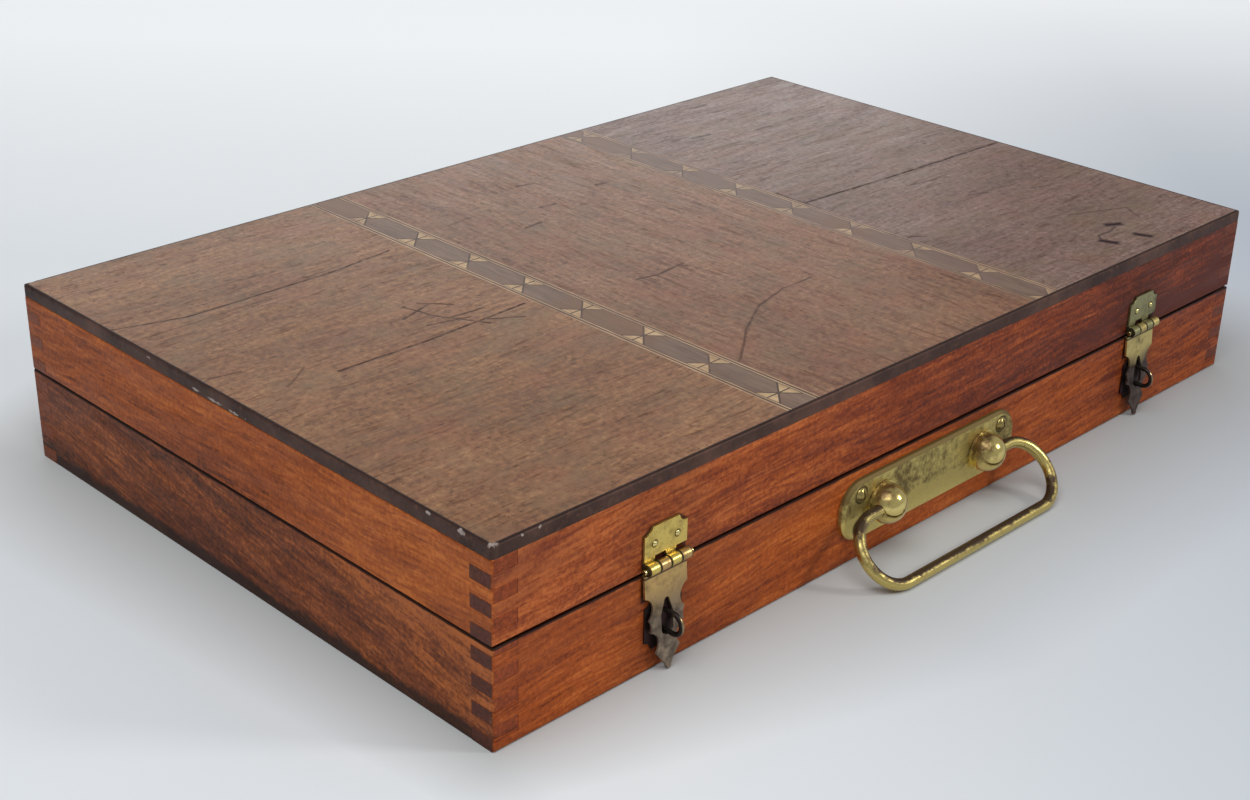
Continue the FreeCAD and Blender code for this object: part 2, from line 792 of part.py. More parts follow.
def add_tongue(name, side):
    """Swinging tongue: straight, then scooped in three steps to a point, with a drop-shaped slot."""
    start = ("-hasp_width / 2", "0")
    upper_waist = ("waist_half", "-shoulder_drop - upper_scoop / 2")
    middle_waist = ("middle_waist_half", "-upper_cusp_drop - middle_scoop / 2")
    lower_waist = ("lower_waist_half", "-middle_cusp_drop - lower_scoop / 2")
    tip_waist = ("tip_waist_half", "-lower_cusp_drop - 0.42 * tip_length")
    steps = both_halves(start, [
        (("hasp_width / 2", "-shoulder_drop"),),
        (upper_waist, ("upper_cusp_half", "-upper_cusp_drop")),
        (middle_waist, ("middle_cusp_half", "-middle_cusp_drop")),
        (lower_waist, ("lower_cusp_half", "-lower_cusp_drop")),
        (tip_waist, ("tip_half", "-lower_cusp_drop - 0.8 * tip_length")),
    ])
    across_tip = len(steps) // 2
    steps[across_tip] = (("0", "-tongue_drop"), steps[across_tip][0])
    body = begin_hasp_leaf(f"hasp_{name}_tongue", start, steps)

    slot = new_sketch(body, "XZ_Plane")
    slot_shoulder = "-slot_drop - slot_top_half"
    slot_side_top = f"{slot_shoulder} - slot_neck"
    slot_side_end = "-slot_bottom + slot_half"
    start = ("-slot_top_half", slot_shoulder)
    add_path(slot, start, [
        (("0", "-slot_drop"), ("slot_top_half", slot_shoulder)),
        (("slot_half", slot_side_top),),
        (("slot_half", slot_side_end),),
        (("0", "-slot_bottom"), ("-slot_half", slot_side_end)),
        (("-slot_half", slot_side_top),),
        (start,),
    ], closed=True)
    pocket(body, slot)
    finish_hasp_leaf(body, 1, 0, "tongue_notch")
    turn(body, (-1, 0, 0), measure("hasp_tilt"))
    bind(body, {"Placement.Rotation.Angle": "hasp_tilt"})
    place(body, f"{side}hasp_offset", "-half_depth - hasp_barrel_radius", "hasp_axis_z")
    keep(body)


def draw_round_head(sketch, head, crown, shank, length):
    """Half of a nail or screw whose head, a cap of a sphere, stands on the face that it holds."""
    sphere = f"(({head} ^ 2 + {crown} ^ 2) / (2 * {crown}))"
    middle = (f"sqrt({sphere} * {crown} / 2)",
              f"{crown} - {sphere} * (1 - sqrt(1 - {crown} / (2 * {sphere})))")
    add_path(sketch, ("0", f"-{length}"), [
        ((shank, f"-{length}"),),
        ((shank, "0"),),
        ((head, "0"),),
        (middle, ("0", crown)),
        (("0", f"-{length}"),),
    ], closed=True)


def add_nails():
    body = new_body("hasp_nails")
    profile = new_sketch(body, "XZ_Plane")
    draw_round_head(profile, "nail_head", "nail_crown", "nail_shank", "nail_length")
    repeat(body, [revolve(body, profile)], "X_Axis", "nail_spacing", "2",
           ("X_Axis", "2 * hasp_offset", "2"))
    turn(body, (1, 0, 0), 90)
    place(body, "-hasp_offset - nail_spacing / 2", "-half_depth - hasp_sheet", "hasp_axis_z + nail_rise")
    keep(body)


def build_hasps():
    for name, side in SIDES:
        add_lid_plate(name, side)
        add_tongue(name, side)
        add_pin(f"hasp_{name}_pin", "hasp_pin_radius", "hasp_width + 2 * hasp_pin_overhang",
                f"{side}hasp_offset", "-half_depth - hasp_barrel_radius", "hasp_axis_z")
    add_nails()


# Staples

def add_staple(name, side):
    """Wire staple: two legs in the board, one above the other, joined by a round loop in front."""
    body = new_body(f"staple_{name}")
    profile = new_sketch(body, "XZ_Plane", "-staple_depth")
    add_circle(profile, ("0", "staple_half"), "staple_wire")
    spine = new_sketch(body, "YZ_Plane")
    add_path(spine, ("staple_depth", "staple_half"), [
        (("-staple_reach", "staple_half"),),
        (("-staple_reach - staple_half", "0"), ("-staple_reach", "-staple_half")),
        (("staple_depth", "-staple_half"),),
    ], closed=False)
    pipe(body, profile, spine)
    place(body, f"{side}hasp_offset", "-half_depth", "staple_height")
    keep(body)


def add_staple_plate(name, side):
    """Plate with four scooped corners, holes for the staple's legs and holes for two pins."""
    body = new_body(f"staple_plate_{name}")
    outline = new_sketch(body, "XZ_Plane")
    width = "staple_plate_half_width"
    height = "staple_plate_half_height"
    scoop = "staple_plate_scoop"
    start = (f"-({width} - {scoop})", f"-{height}")
    add_path(outline, start, both_halves(start, [
        ((f"{width} - 0.7 * {scoop}", f"-{height} + 0.7 * {scoop}"), (width, f"-{height} + {scoop}")),
        ((width, f"{height} - {scoop}"),),
        ((f"{width} - 0.7 * {scoop}", f"{height} - 0.7 * {scoop}"), (f"{width} - {scoop}", height)),
    ]), closed=True)
    pad(body, outline, "staple_plate_sheet")
    holes = new_sketch(body, "XZ_Plane")
    for z in ("-", ""):
        add_circle(holes, ("0", f"{z}staple_half"), "staple_wire + drill_clearance")
        add_circle(holes, ("0", f"{z}plate_pin_rise"), "plate_pin_radius + drill_clearance")
    pocket(body, holes)
    place(body, f"{side}hasp_offset", "-half_depth", "staple_height")
    keep(body)


def add_plate_pins():
    """Flush pins above and below each staple."""
    body = new_body("staple_plate_pins")
    sketch = new_sketch(body, "XZ_Plane", "staple_plate_sheet - plate_pin_length")
    add_circle(sketch, ("0", "0"), "plate_pin_radius")
    repeat(body, [pad(body, sketch, "plate_pin_length")], "X_Axis", "2 * hasp_offset", "2",
           ("Z_Axis", "2 * plate_pin_rise", "2"))
    place(body, "-hasp_offset", "-half_depth", "staple_height - plate_pin_rise")
    keep(body)


def build_staples():
    for name, side in SIDES:
        add_staple(name, side)
        add_staple_plate(name, side)
    add_plate_pins()


# Handle

def add_backplate():
    """Pressed plate with round ends and a bevelled edge, drilled for the posts and the screws."""
    body = new_body("handle_backplate")
    outline = new_sketch(body, "XZ_Plane")
    length = "backplate_half_length"
    height = "backplate_half_height"
    bend = f"{QUARTER_ARC} * backplate_round"
    start = (f"-({length} - backplate_round)", f"-{height}")
    add_path(outline, start, both_halves(start, [
        ((f"{length} - {bend}", f"-{height} + {bend}"), (length, f"-{height} + backplate_round")),
        ((length, f"{height} - backplate_round"),),
        ((f"{length} - {bend}", f"{height} - {bend}"), (f"{length} - backplate_round", height)),
    ]), closed=True)
    pad(body, outline, "backplate_thickness")
    front = -measure("backplate_thickness")
    dress(body, "Chamfer", lambda at: near(at.y, front), "Size", "backplate_bevel")
    holes = new_sketch(body, "XZ_Plane")
    for x in ("-", ""):
        add_circle(holes, (f"{x}post_spacing / 2", "0"), "post_tenon + drill_clearance")
        for z in ("-", ""):
            add_circle(holes, (f"{x}handle_screw_spacing / 2", f"{z}handle_screw_rise / 2"),
                       "handle_screw_shank + drill_clearance")
    pocket(body, holes)
    place(body, "0", "-half_depth", "handle_height")
    keep(body)


def add_post(name, side, turned):
    """Turned post: tenon through the plate, collar and a ball bored for the bail."""
    body = new_body(f"handle_post_{name}")
    profile = new_sketch(body, "XZ_Plane")
    seat = "backplate_thickness"
    collar_top = f"{seat} + post_collar_height"
    ball_foot = f"sqrt(ball_radius ^ 2 - ({collar_top} - ball_height) ^ 2)"
    slant = "ball_radius * sqrt(2) / 2"
    add_path(profile, ("0", "0"), [
        (("post_tenon", "0"),),
        (("post_tenon", seat),),
        (("post_collar", seat),),
        (("post_collar", collar_top),),
        ((ball_foot, collar_top),),
        ((slant, f"ball_height + {slant}"), ("0", "ball_height + ball_radius")),
        (("0", "0"),),
    ], closed=True)
    revolve(body, profile)
    bore = new_sketch(body, "YZ_Plane", "stub_reach + pin_clearance")
    add_circle(bore, ("0", "bail_height"), "rod_radius + pin_clearance")
    pocket(body, bore, "2 * ball_radius")
    facing = FreeCAD.Rotation(FreeCAD.Vector(1, 0, 0), 90)
    about_axis = FreeCAD.Rotation(FreeCAD.Vector(0, 0, 1), 180 if turned else 0)
    body.Placement.Rotation = facing.multiply(about_axis)
    place(body, f"{side}post_spacing / 2", "-half_depth", "handle_height")
    keep(body)


def add_handle_screws():
    body = new_body("handle_screws")
    profile = new_sketch(body, "XZ_Plane")
    draw_round_head(profile, "handle_screw_head", "handle_screw_crown", "handle_screw_shank",
                    "handle_screw_length")
    repeat(body, [revolve(body, profile)], "X_Axis", "handle_screw_spacing", "2",
           ("Y_Axis", "handle_screw_rise", "2"))
    slots = new_sketch(body, "XZ_Plane")
    for column in ("0", "handle_screw_spacing"):
        add_rectangle(slots, (f"{column} - handle_screw_slot / 2", "handle_screw_crown / 2"),
                      (f"{column} + handle_screw_slot / 2", "handle_screw_crown"))
    pocket(body, slots)
    turn(body, (1, 0, 0), 90)
    place(body, "-handle_screw_spacing / 2", "-half_depth - backplate_thickness",
          "handle_height - handle_screw_rise / 2")
    keep(body)


def add_bail():
    """Round rod with half-round ends; its stubs turn in the two balls and its bar rests on the floor."""
    body = new_body("handle_bail")
    stub = "post_spacing / 2 - stub_reach"
    bend_start = "bail_half_width - bail_bend"
    profile = new_sketch(body, "YZ_Plane", f"-({stub})")
    add_circle(profile, ("0", "0"), "rod_radius")
    spine = new_sketch(body, "XY_Plane")
    add_path(spine, (f"-({stub})", "0"), [
        ((f"-({bend_start})", "0"),),
        (("-bail_half_width", "-bail_bend"), (f"-({bend_start})", "-bail_drop")),
        ((bend_start, "-bail_drop"),),
        (("bail_half_width", "-bail_bend"), (bend_start, "0")),
        ((stub, "0"),),
    ], closed=False)
    pipe(body, profile, spine)
    turn(body, (1, 0, 0), measure("bail_tilt"))
    bind(body, {"Placement.Rotation.Angle": "bail_tilt"})
    place(body, "0", "-half_depth - bail_height", "handle_height")
    keep(body)


def build_handle():
    add_backplate()
    for name, side in SIDES:
        add_post(name, side, name == "right")
    add_handle_screws()
    add_bail()


# Build, check and write

def check_document():
    doc.recompute()
    for item in doc.Objects:
        if "Invalid" in item.State or "Error" in item.State:
            raise RuntimeError(f"{item.Label}: {item.State} {item.getStatusString()}")
    for item in nodes:
        if item.Shape.isNull() or not item.Shape.isValid() or not item.Shape.Solids:
            raise RuntimeError(f"{item.Label}: no valid solid")


def write_parts():
    os.makedirs("parts", exist_ok=True)
    for item in nodes:
        item.Shape.exportStep(os.path.join("parts", item.Label + ".step"))
        print(f"{item.Label}: {len(item.Shape.Solids)} solids, {item.Shape.Volume:.1f} mm3")


build_boards()
build_panels()
build_lid_edge()
build_veneer()
for band_side, _ in SIDES:
    build_band(band_side)
build_hinges()
build_hasps()
build_staples()
build_handle()
check_document()
write_parts()
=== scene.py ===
import math

import bpy
from mathutils import Matrix, Vector


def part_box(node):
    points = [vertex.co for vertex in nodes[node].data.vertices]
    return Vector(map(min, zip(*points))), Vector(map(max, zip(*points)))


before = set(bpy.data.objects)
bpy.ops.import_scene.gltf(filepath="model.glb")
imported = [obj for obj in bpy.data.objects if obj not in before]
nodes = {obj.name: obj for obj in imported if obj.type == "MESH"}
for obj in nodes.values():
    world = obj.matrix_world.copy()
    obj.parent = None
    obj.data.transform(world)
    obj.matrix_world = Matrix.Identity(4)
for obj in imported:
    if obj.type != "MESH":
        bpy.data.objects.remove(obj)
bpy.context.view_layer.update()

# Sizes taken from the frame and lengths that belong to it, all in metres

MILLIMETRES = 1000.0  # in a metre
HALF_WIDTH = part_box("base_front_board")[1].x
HALF_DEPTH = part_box("base_back_board")[1].y
SEAM = (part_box("base_front_board")[1].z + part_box("lid_front_board")[0].z) / 2

# The right hasp's plate and its clipped upper corners; the left one is its mirror image in place
PLATE_LOW, PLATE_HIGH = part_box("hasp_right_lid_plate")
HASP_MIDDLE = (PLATE_LOW.x + PLATE_HIGH.x) / 2
HASP_HALF = (PLATE_HIGH.x - PLATE_LOW.x) / 2
HASP_KNUCKLES = 4
CLIP_WIDTH, CLIP_HEIGHT = 0.0036, 0.0027
CLIP_SLANT = math.hypot(CLIP_WIDTH, CLIP_HEIGHT)

# Radius of nail heads, distance from nail to nail, and radius of screw heads
NAIL_HEAD = 0.00115
NAIL_SPACING = 0.0102
SCREW_HEAD = 0.0029


def tone(red, green, blue):
    """Display colour, 0 to 255 a channel, as the linear colour that shaders take."""
    def linear(value):
        value /= 255
        return value / 12.92 if value <= 0.04045 else ((value + 0.055) / 1.055) ** 2.4
    return (linear(red), linear(green), linear(blue), 1.0)


# Node graphs

# Sockets of the mix node's colour form: share, first and second colour, and result
MIX_INPUTS = (0, 6, 7)
MIX_RESULT = 2


class Graph:
    """Short ways to add shader nodes to one material; inputs are numbers, tuples or sockets."""

    def __init__(self, name):
        self.material = bpy.data.materials.new(name)
        self.material.use_nodes = True
        self.tree = self.material.node_tree
        self.tree.nodes.clear()
        output = self.tree.nodes.new("ShaderNodeOutputMaterial")
        self.shader = self.tree.nodes.new("ShaderNodeBsdfPrincipled")
        self.tree.links.new(self.shader.outputs["BSDF"], output.inputs["Surface"])
        coordinates = self.tree.nodes.new("ShaderNodeTexCoord")
        self.place = coordinates.outputs["Object"]
        self.facing = coordinates.outputs["Normal"]

    def feed(self, socket, value):
        if isinstance(value, bpy.types.NodeSocket):
            self.tree.links.new(value, socket)
        else:
            socket.default_value = value

    def add(self, kind, inputs, **settings):
        node = self.tree.nodes.new("ShaderNode" + kind)
        for name, value in settings.items():
            setattr(node, name, value)
        for name, value in inputs.items():
            self.feed(node.inputs[name], value)
        return node

    def math(self, operation, first, second=0.0):
        return self.add("Math", {0: first, 1: second}, operation=operation).outputs[0]

    def plus(self, first, second):
        return self.math("ADD", first, second)

    def minus(self, first, second):
        return self.math("SUBTRACT", first, second)

    def times(self, value, factor):
        return self.math("MULTIPLY", value, factor)

    def size(self, value):
        return self.math("ABSOLUTE", value)

    def most(self, first, second):
        return self.math("MAXIMUM", first, second)

    def least(self, first, second):
        return self.math("MINIMUM", first, second)

    def about(self, value, factor):
        """Noise taken about zero and scaled."""
        return self.times(self.minus(value, 0.5), factor)

    def between(self, value, low, high, low_to=0.0, high_to=1.0):
        """Value brought from one range to another, held at its ends."""
        inputs = {"Value": value, "From Min": low, "From Max": high,
                  "To Min": low_to, "To Max": high_to}
        return self.add("MapRange", inputs).outputs[0]

    def vector_math(self, operation, first, second=(0, 0, 0)):
        node = self.add("VectorMath", {0: first, 1: second}, operation=operation)
        return node.outputs["Value" if operation in ("DISTANCE", "DOT_PRODUCT") else "Vector"]

    def split(self, vector):
        return self.add("SeparateXYZ", {0: vector}).outputs

    def join(self, x, y, z):
        return self.add("CombineXYZ", {0: x, 1: y, 2: z}).outputs[0]

    def stretch(self, vector, scale, offset=(0, 0, 0), turn=(0, 0, 0)):
        inputs = {"Vector": vector, "Scale": scale, "Location": offset, "Rotation": turn}
        return self.add("Mapping", inputs).outputs[0]

    def noise(self, vector, scale=1.0, detail=3.0, roughness=0.5):
        inputs = {"Vector": vector, "Scale": scale, "Detail": detail, "Roughness": roughness}
        return self.add("TexNoise", inputs).outputs["Fac"]

    def waves(self, vector, counts, detail=3.0, roughness=0.5, offset=(0, 0, 0)):
        """Noise with a count of waves a metre along each axis."""
        return self.noise(self.stretch(vector, counts, offset), 1.0, detail, roughness)

    def mix(self, share, first, second):
        node = self.add("Mix", {}, data_type="RGBA")
        for number, value in zip(MIX_INPUTS, (share, first, second)):
            self.feed(node.inputs[number], value)
        return node.outputs[MIX_RESULT]

    def ramp(self, value, positions, colours):
        node = self.add("ValToRGB", {"Fac": value})
        elements = node.color_ramp.elements
        while len(elements) < len(colours):
            elements.new(0.5)
        for element, position, colour in zip(elements, positions, colours):
            element.position = position
            element.color = tone(*colour)
        return node.outputs[0]

    def bump(self, height, distance, strength):
        node = self.add("Bump", {"Height": height, "Distance": distance, "Strength": strength})
        self.feed(self.shader.inputs["Normal"], node.outputs[0])

    def set(self, **inputs):
        for name, value in inputs.items():
            self.feed(self.shader.inputs[name.replace("_", " ")], value)


# Wood

# Step from one seed to the next along and across the grain, in metres
SEED_ALONG, SEED_ACROSS = 1.37, 0.71
# The grain's wander: waves a metre, and how far it goes in metres
WANDER_WAVES, WANDER = (13, 38, 38), 0.011
# Depth of fine relief, in metres
FINE_BUMP = 0.0001


def along_grain(graph, axis, seed, slope=0.0):
    """Place in metres with the grain along its first axis, moved to noise of its own."""
    x, y, z = graph.split(graph.place)
    run, across = (x, y) if axis == "x" else (y, x)
    tilted = graph.plus(z, graph.times(run, slope))
    moved_run = graph.plus(run, seed * SEED_ALONG)
    moved_across = graph.plus(across, seed * SEED_ACROSS)
    straight = graph.join(moved_run, moved_across, tilted)
    drift = graph.about(graph.waves(straight, WANDER_WAVES), WANDER)
    return graph.vector_math("ADD", straight, graph.join(0.0, drift, drift))


def wood_light(graph, grain, bands):
    """Light and dark about 0.5; a band is waves a metre along and across the grain, and weight."""
    total = 0.5
    for along, across, weight in bands:
        wave = graph.waves(grain, (along, across, across), roughness=0.55)
        total = graph.plus(total, graph.about(wave, weight))
    return total


def wood_pores(graph, grain, along, across, low, high):
    """Short dark strokes along the grain, from 0 to 1."""
    strokes = graph.waves(grain, (along, across, across), detail=2.0, roughness=0.6)
    return graph.between(strokes, low, high)


PLAIN_BANDS = [(5, 28, 0.45), (12, 120, 0.5), (26, 420, 0.75), (80, 850, 0.9)]
STREAKED_BANDS = [(5, 28, 0.5), (11, 95, 0.75), (36, 360, 0.65), (120, 900, 0.8)]
BOARD_STOPS = (0.12, 0.40, 0.62, 0.90)

# Board tones from dark to light, slope of the grain, change of light at the low end, middle and
# high end, gain of light from foot to top, and share of dark stain
BOARDS = {
    "lid_front": ([(84, 35, 21), (123, 53, 24), (152, 72, 30), (188, 101, 48)],
                  -0.04, (0.30, -0.06, -0.44), 0.12, 0.5),
    "base_front": ([(100, 37, 12), (143, 65, 21), (163, 78, 27), (192, 103, 43)],
                   -0.05, (0.03, 0.08, -0.18), 0.0, 0.36),
    "lid_left": ([(90, 41, 15), (140, 67, 24), (161, 81, 31), (191, 106, 44)],
                 0.03, (0.15, -0.02, 0.04), 0.16, 0.36),
    "base_left": ([(50, 24, 14), (93, 46, 24), (122, 62, 30), (170, 94, 45)],
                  -0.12, (0.30, 0.0, -0.10), 0.26, 0.30),
}
BOARD_LIKE = {"lid_back": "lid_front", "base_back": "base_front",
              "lid_right": "lid_left", "base_right": "base_left"}
END_TONES = {"left": (126, 56, 27), "right": (92, 44, 32), "front": (72, 40, 32), "back": (112, 58, 36)}
END_SHARES = (0.75, 1.0, 1.3)
BARE_TONES = [(118, 70, 44), (150, 96, 62), (168, 112, 76), (188, 134, 94)]
BOARD_PORE = tone(54, 21, 12)
BOARD_FLECK_GLINT = tone(196, 114, 66)
BOARD_STAIN = tone(86, 38, 31)
BOARD_DIRT_AND_SHADE = tone(24, 12, 9)
FOOT_DARK = tone(40, 25, 19)
RUBBED_CORNER = tone(176, 118, 78)

# Dirt and painted shade on boards, in metres: pairs are the distance where it ends and the one
# where it is full, and drops are taken below the seam
HASP_DIRT_AND_SHADE_DROP = 0.010
HASP_RIM = (0.0009, 0.0001)
HASP_HALO = (0.016, 0.001)
SEAM_DIRT_AND_SHADE, SEAM_DROP, SEAM_RAGGED = (0.0005, 0.0001), 0.0003, 0.0008
# A darker strip at the foot: height and share by kind of board, how softly it ends and how raggedly
FOOT_PLAIN, FOOT_STREAKED = (0.0014, 0.3), (0.0048, 0.85)
FOOT_ABOVE, FOOT_BELOW = 0.0012, 0.001
FOOT_RAGGED = 0.007
# Depth in metres where varnish ends and is whole, and distance where a corner's wear does so
VARNISH_DEPTHS = (0.004, 0.002)
CORNER_WEAR = (0.0022, 0.0008)


def hasp_dirt_and_shade(graph, x, z):
    """Dirt and painted shade on the front boards behind and round the hasps' upper leaves, and a faint
    darkening beside them.
    """
    aside = graph.minus(graph.size(graph.minus(graph.size(x), HASP_MIDDLE)), HASP_HALF)
    above = graph.minus(z, PLATE_HIGH.z)
    below = graph.minus(SEAM - HASP_DIRT_AND_SHADE_DROP, z)
    slant_x = graph.times(aside, CLIP_HEIGHT / CLIP_SLANT)
    slant_z = graph.times(above, CLIP_WIDTH / CLIP_SLANT)
    clipped = graph.plus(graph.plus(slant_x, slant_z), CLIP_WIDTH * CLIP_HEIGHT / CLIP_SLANT)
    away = graph.most(graph.most(aside, above), graph.most(below, clipped))
    halo = graph.between(graph.most(aside, 0.0), *HASP_HALO, 0.0, 0.2)
    return graph.most(graph.between(away, *HASP_RIM, 0.0, 0.85), halo)


def board_material(board, seed):
    """Red-brown varnished board with end grain, dirt and painted shade along the seam and round the
    hasps, worn corners and bare wood inside.
    """
    tones, slope, (low_end, middle, high_end), rise, stained = BOARDS[BOARD_LIKE.get(board, board)]
    part, side = board.split("_")
    upright = side in ("left", "right")
    streaked = part == "base" and upright
    graph = Graph(board + "_wood")
    x, y, z = graph.split(graph.place)
    run, reach = (y, HALF_DEPTH) if upright else (x, HALF_WIDTH)
    grain = along_grain(graph, "y" if upright else "x", seed, slope)

    # Light and dark of the grain, of fine mottle, from end to end and from foot to top
    light = wood_light(graph, grain, STREAKED_BANDS if streaked else PLAIN_BANDS)
    mottle = graph.noise(graph.place, 620.0, detail=4.0, roughness=0.7)
    light = graph.plus(light, graph.about(mottle, 1.0))
    light = graph.plus(light, graph.between(run, -reach, 0.0, low_end, middle))
    light = graph.plus(light, graph.between(run, 0.0, reach, 0.0, high_end - middle))
    board_low, board_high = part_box(board + "_board")
    light = graph.plus(light, graph.between(z, board_low.z, board_high.z, -rise / 2, rise / 2))
    colour = graph.ramp(light, BOARD_STOPS, tones)

    # Dark pores, bright flecks in the lighter wood that are grain figure and painted glints, and stain
    pores = wood_pores(graph, grain, 90, 1000, 0.57, 0.70)
    colour = graph.mix(graph.times(pores, 0.3), colour, BOARD_PORE)
    beside_pores = graph.stretch(grain, (1, 1, 1), (0.5, 0, 0))
    fleck_glints = wood_pores(graph, beside_pores, 90, 900, 0.58, 0.72)
    fleck_glints = graph.times(fleck_glints, graph.between(light, 0.25, 0.55, 0.0, 0.35))
    colour = graph.mix(fleck_glints, colour, BOARD_FLECK_GLINT)
    stain = graph.waves(grain, (13, 65, 65), detail=5.0, roughness=0.65, offset=(3, 0, 0))
    colour = graph.mix(graph.between(stain, 0.5, 0.68, 0.0, stained), colour, BOARD_STAIN)

    # End grain, where a face looks along the board
    along = graph.size(graph.split(graph.facing)[1 if upright else 0])
    ends = graph.between(along, 0.75, 0.95)
    rings = graph.noise(graph.place, 700.0, roughness=0.7)
    end_tones = [[value * share for value in END_TONES[side]] for share in END_SHARES]
    end_colour = graph.ramp(rings, (0.3, 0.5, 0.75), end_tones)
    colour = graph.mix(graph.times(ends, 0.92), colour, end_colour)

    # Bare wood inside, dirt and painted shade along the seam and round the hasps, and a darker strip
    # at the foot outside
    from_side = graph.minus(HALF_WIDTH, graph.size(x))
    from_front = graph.minus(HALF_DEPTH, graph.size(y))
    outside = graph.between(graph.least(from_side, from_front), *VARNISH_DEPTHS)
    colour = graph.mix(outside, graph.ramp(light, BOARD_STOPS, BARE_TONES), colour)
    border_noise = graph.noise(graph.place, 110.0, detail=4.0, roughness=0.6)
    from_seam = graph.size(graph.minus(z, SEAM - SEAM_DROP))
    off_seam = graph.minus(from_seam, graph.times(border_noise, SEAM_RAGGED))
    dirt_and_shade = graph.between(off_seam, *SEAM_DIRT_AND_SHADE, 0.0, 0.95)
    # Painted shade and dirt behind and round the hasps' leaves
    if side == "front":
        dirt_and_shade = graph.most(dirt_and_shade, hasp_dirt_and_shade(graph, x, z))
    colour = graph.mix(graph.times(dirt_and_shade, outside), colour, BOARD_DIRT_AND_SHADE)
    foot_height, foot_share = FOOT_STREAKED if streaked else FOOT_PLAIN
    ragged = graph.minus(z, graph.about(border_noise, FOOT_RAGGED))
    foot_end, foot_full = foot_height + FOOT_ABOVE, foot_height - FOOT_BELOW
    foot = graph.between(ragged, foot_end, foot_full, 0.0, foot_share)
    colour = graph.mix(foot, colour, FOOT_DARK)

    # Rubbed spots on the upright corners
    corner = graph.between(graph.most(from_side, from_front), *CORNER_WEAR)
    flakes = graph.between(graph.noise(graph.place, 230.0, roughness=0.65), 0.60, 0.68)
    chips = graph.times(corner, flakes)
    colour = graph.mix(graph.times(chips, 0.45), colour, RUBBED_CORNER)

    sheen = graph.waves(grain, (40, 160, 160))
    roughness = graph.between(sheen, 0.3, 0.7, 0.36, 0.56)
    graph.set(Base_Color=colour, Roughness=roughness, Specular_IOR_Level=0.15)
    relief = graph.minus(graph.times(light, 0.1), graph.plus(pores, chips))
    graph.bump(relief, FINE_BUMP, 0.3)
    return graph.material


PANEL_BANDS = [(3, 25, 0.6), (9, 160, 0.8), (30, 700, 0.8)]
PANEL_TONES = [(104, 69, 45), (147, 105, 71), (177, 135, 97)]
PANEL_PORE = tone(70, 42, 26)
PANEL_STAIN = tone(96, 66, 45)
THREE_STOPS = (0.2, 0.5, 0.8)


def panel_material(name, seed):
    """Unpolished panel wood."""
    graph = Graph(name + "_wood")
    grain = along_grain(graph, "x", seed)
    light = wood_light(graph, grain, PANEL_BANDS)
    pores = wood_pores(graph, grain, 200, 1500, 0.6, 0.72)
    colour = graph.ramp(light, THREE_STOPS, PANEL_TONES)
    colour = graph.mix(graph.times(pores, 0.4), colour, PANEL_PORE)
    stains = graph.noise(graph.place, 18.0, detail=4.0, roughness=0.6)
    colour = graph.mix(graph.between(stains, 0.52, 0.75, 0.0, 0.5), colour, PANEL_STAIN)
    graph.set(Base_Color=colour, Roughness=0.66, Specular_IOR_Level=0.25)
    graph.bump(graph.minus(graph.times(light, 0.2), pores), FINE_BUMP, 0.4)
    return graph.material


# Marks and blots of the lid in millimetres: points of a line, half width, strength
MARKS = {
    "veneer_left": [
        ([(-208, 73), (-182, 65.2), (-118, 65.6), (-88, 69)], 0.9, 0.95),
        ([(-200, 59), (-150, 60)], 0.7, 0.6),
        ([(-170, -8), (-133, -8.4), (-84, -6)], 0.95, 0.95),
        ([(-206, 15.8), (-195, 13.6)], 0.9, 0.7),
        ([(-190, -6.7), (-184, -3), (-177, 2.4)], 0.7, 0.65),
        ([(-119, 21), (-116, 7.5), (-105, -11)], 0.85, 0.9),
        ([(-126, 12), (-110, 17)], 0.85, 0.85),
        ([(-123, 2), (-107, -2)], 0.85, 0.85),
        ([(-113, 20), (-104, 11)], 0.85, 0.85),
        ([(-103, -8), (-92, -15)], 0.85, 0.85),
        ([(-112, 2), (-98, 1)], 0.85, 0.8),
    ],
    "veneer_centre": [
        ([(-63, -94), (-52, -86), (-40.4, -76.7), (-21, -65.4), (-1, -60.1), (15, -59.9)], 0.75, 0.75),
        ([(-36, -17), (-27, -19), (-11, -17)], 1.0, 0.8),
        ([(-28, -19), (-28.3, -36)], 0.8, 0.6),
        ([(-10, 66), (-3, 65)], 1.2, 0.8),
        ([(-31, 52), (-22, 53)], 1.2, 0.8),
        ([(0, 92), (8, 90)], 1.2, 0.7),
        ([(27, 71), (32, 70.6)], 1.5, 0.8),
        ([(-52, 75), (-40, 76)], 0.9, 0.6),
    ],
    "veneer_right": [
        ([(78, -3.6), (130, -6.6), (176, -8.2), (206, -8.8)], 1.15, 1.0),
        ([(77, -12), (77.3, 12)], 1.3, 0.75),
        ([(128, -19), (144, -22)], 0.9, 0.7),
        ([(138, -44), (147, -47)], 1.0, 0.7),
        ([(78, -58), (84, -62)], 1.1, 0.7),
        ([(128, -68), (136, -70)], 0.9, 0.6),
        ([(166, -57), (176, -60)], 0.9, 0.6),
        ([(138, 121), (148, 120)], 1.4, 0.8),
        ([(105, 88), (115, 87)], 1.4, 0.8),
        ([(138, 77), (147, 77)], 1.2, 0.7),
        ([(150, -87), (176, -98), (170, -108)], 0.8, 0.6),
        ([(123, -105), (131, -103)], 0.9, 0.6),
    ],
}
BLOTS = {
    "veneer_right": [
        ([(152, -104.5), (156, -107)], 2.8, 0.95),
        ([(152, -107.5), (146, -109.5), (138, -109), (135, -112)], 0.9, 0.65),
        ([(134, -113.5), (136, -118)], 2.7, 0.95),
        ([(151.5, -118.5), (153.5, -123)], 2.6, 0.95),
    ],
}
# Share of a line's half width that is wholly dark, and its wobble in millimetres
LINE_CORE = 0.3
LINE_WOBBLE = 1.7

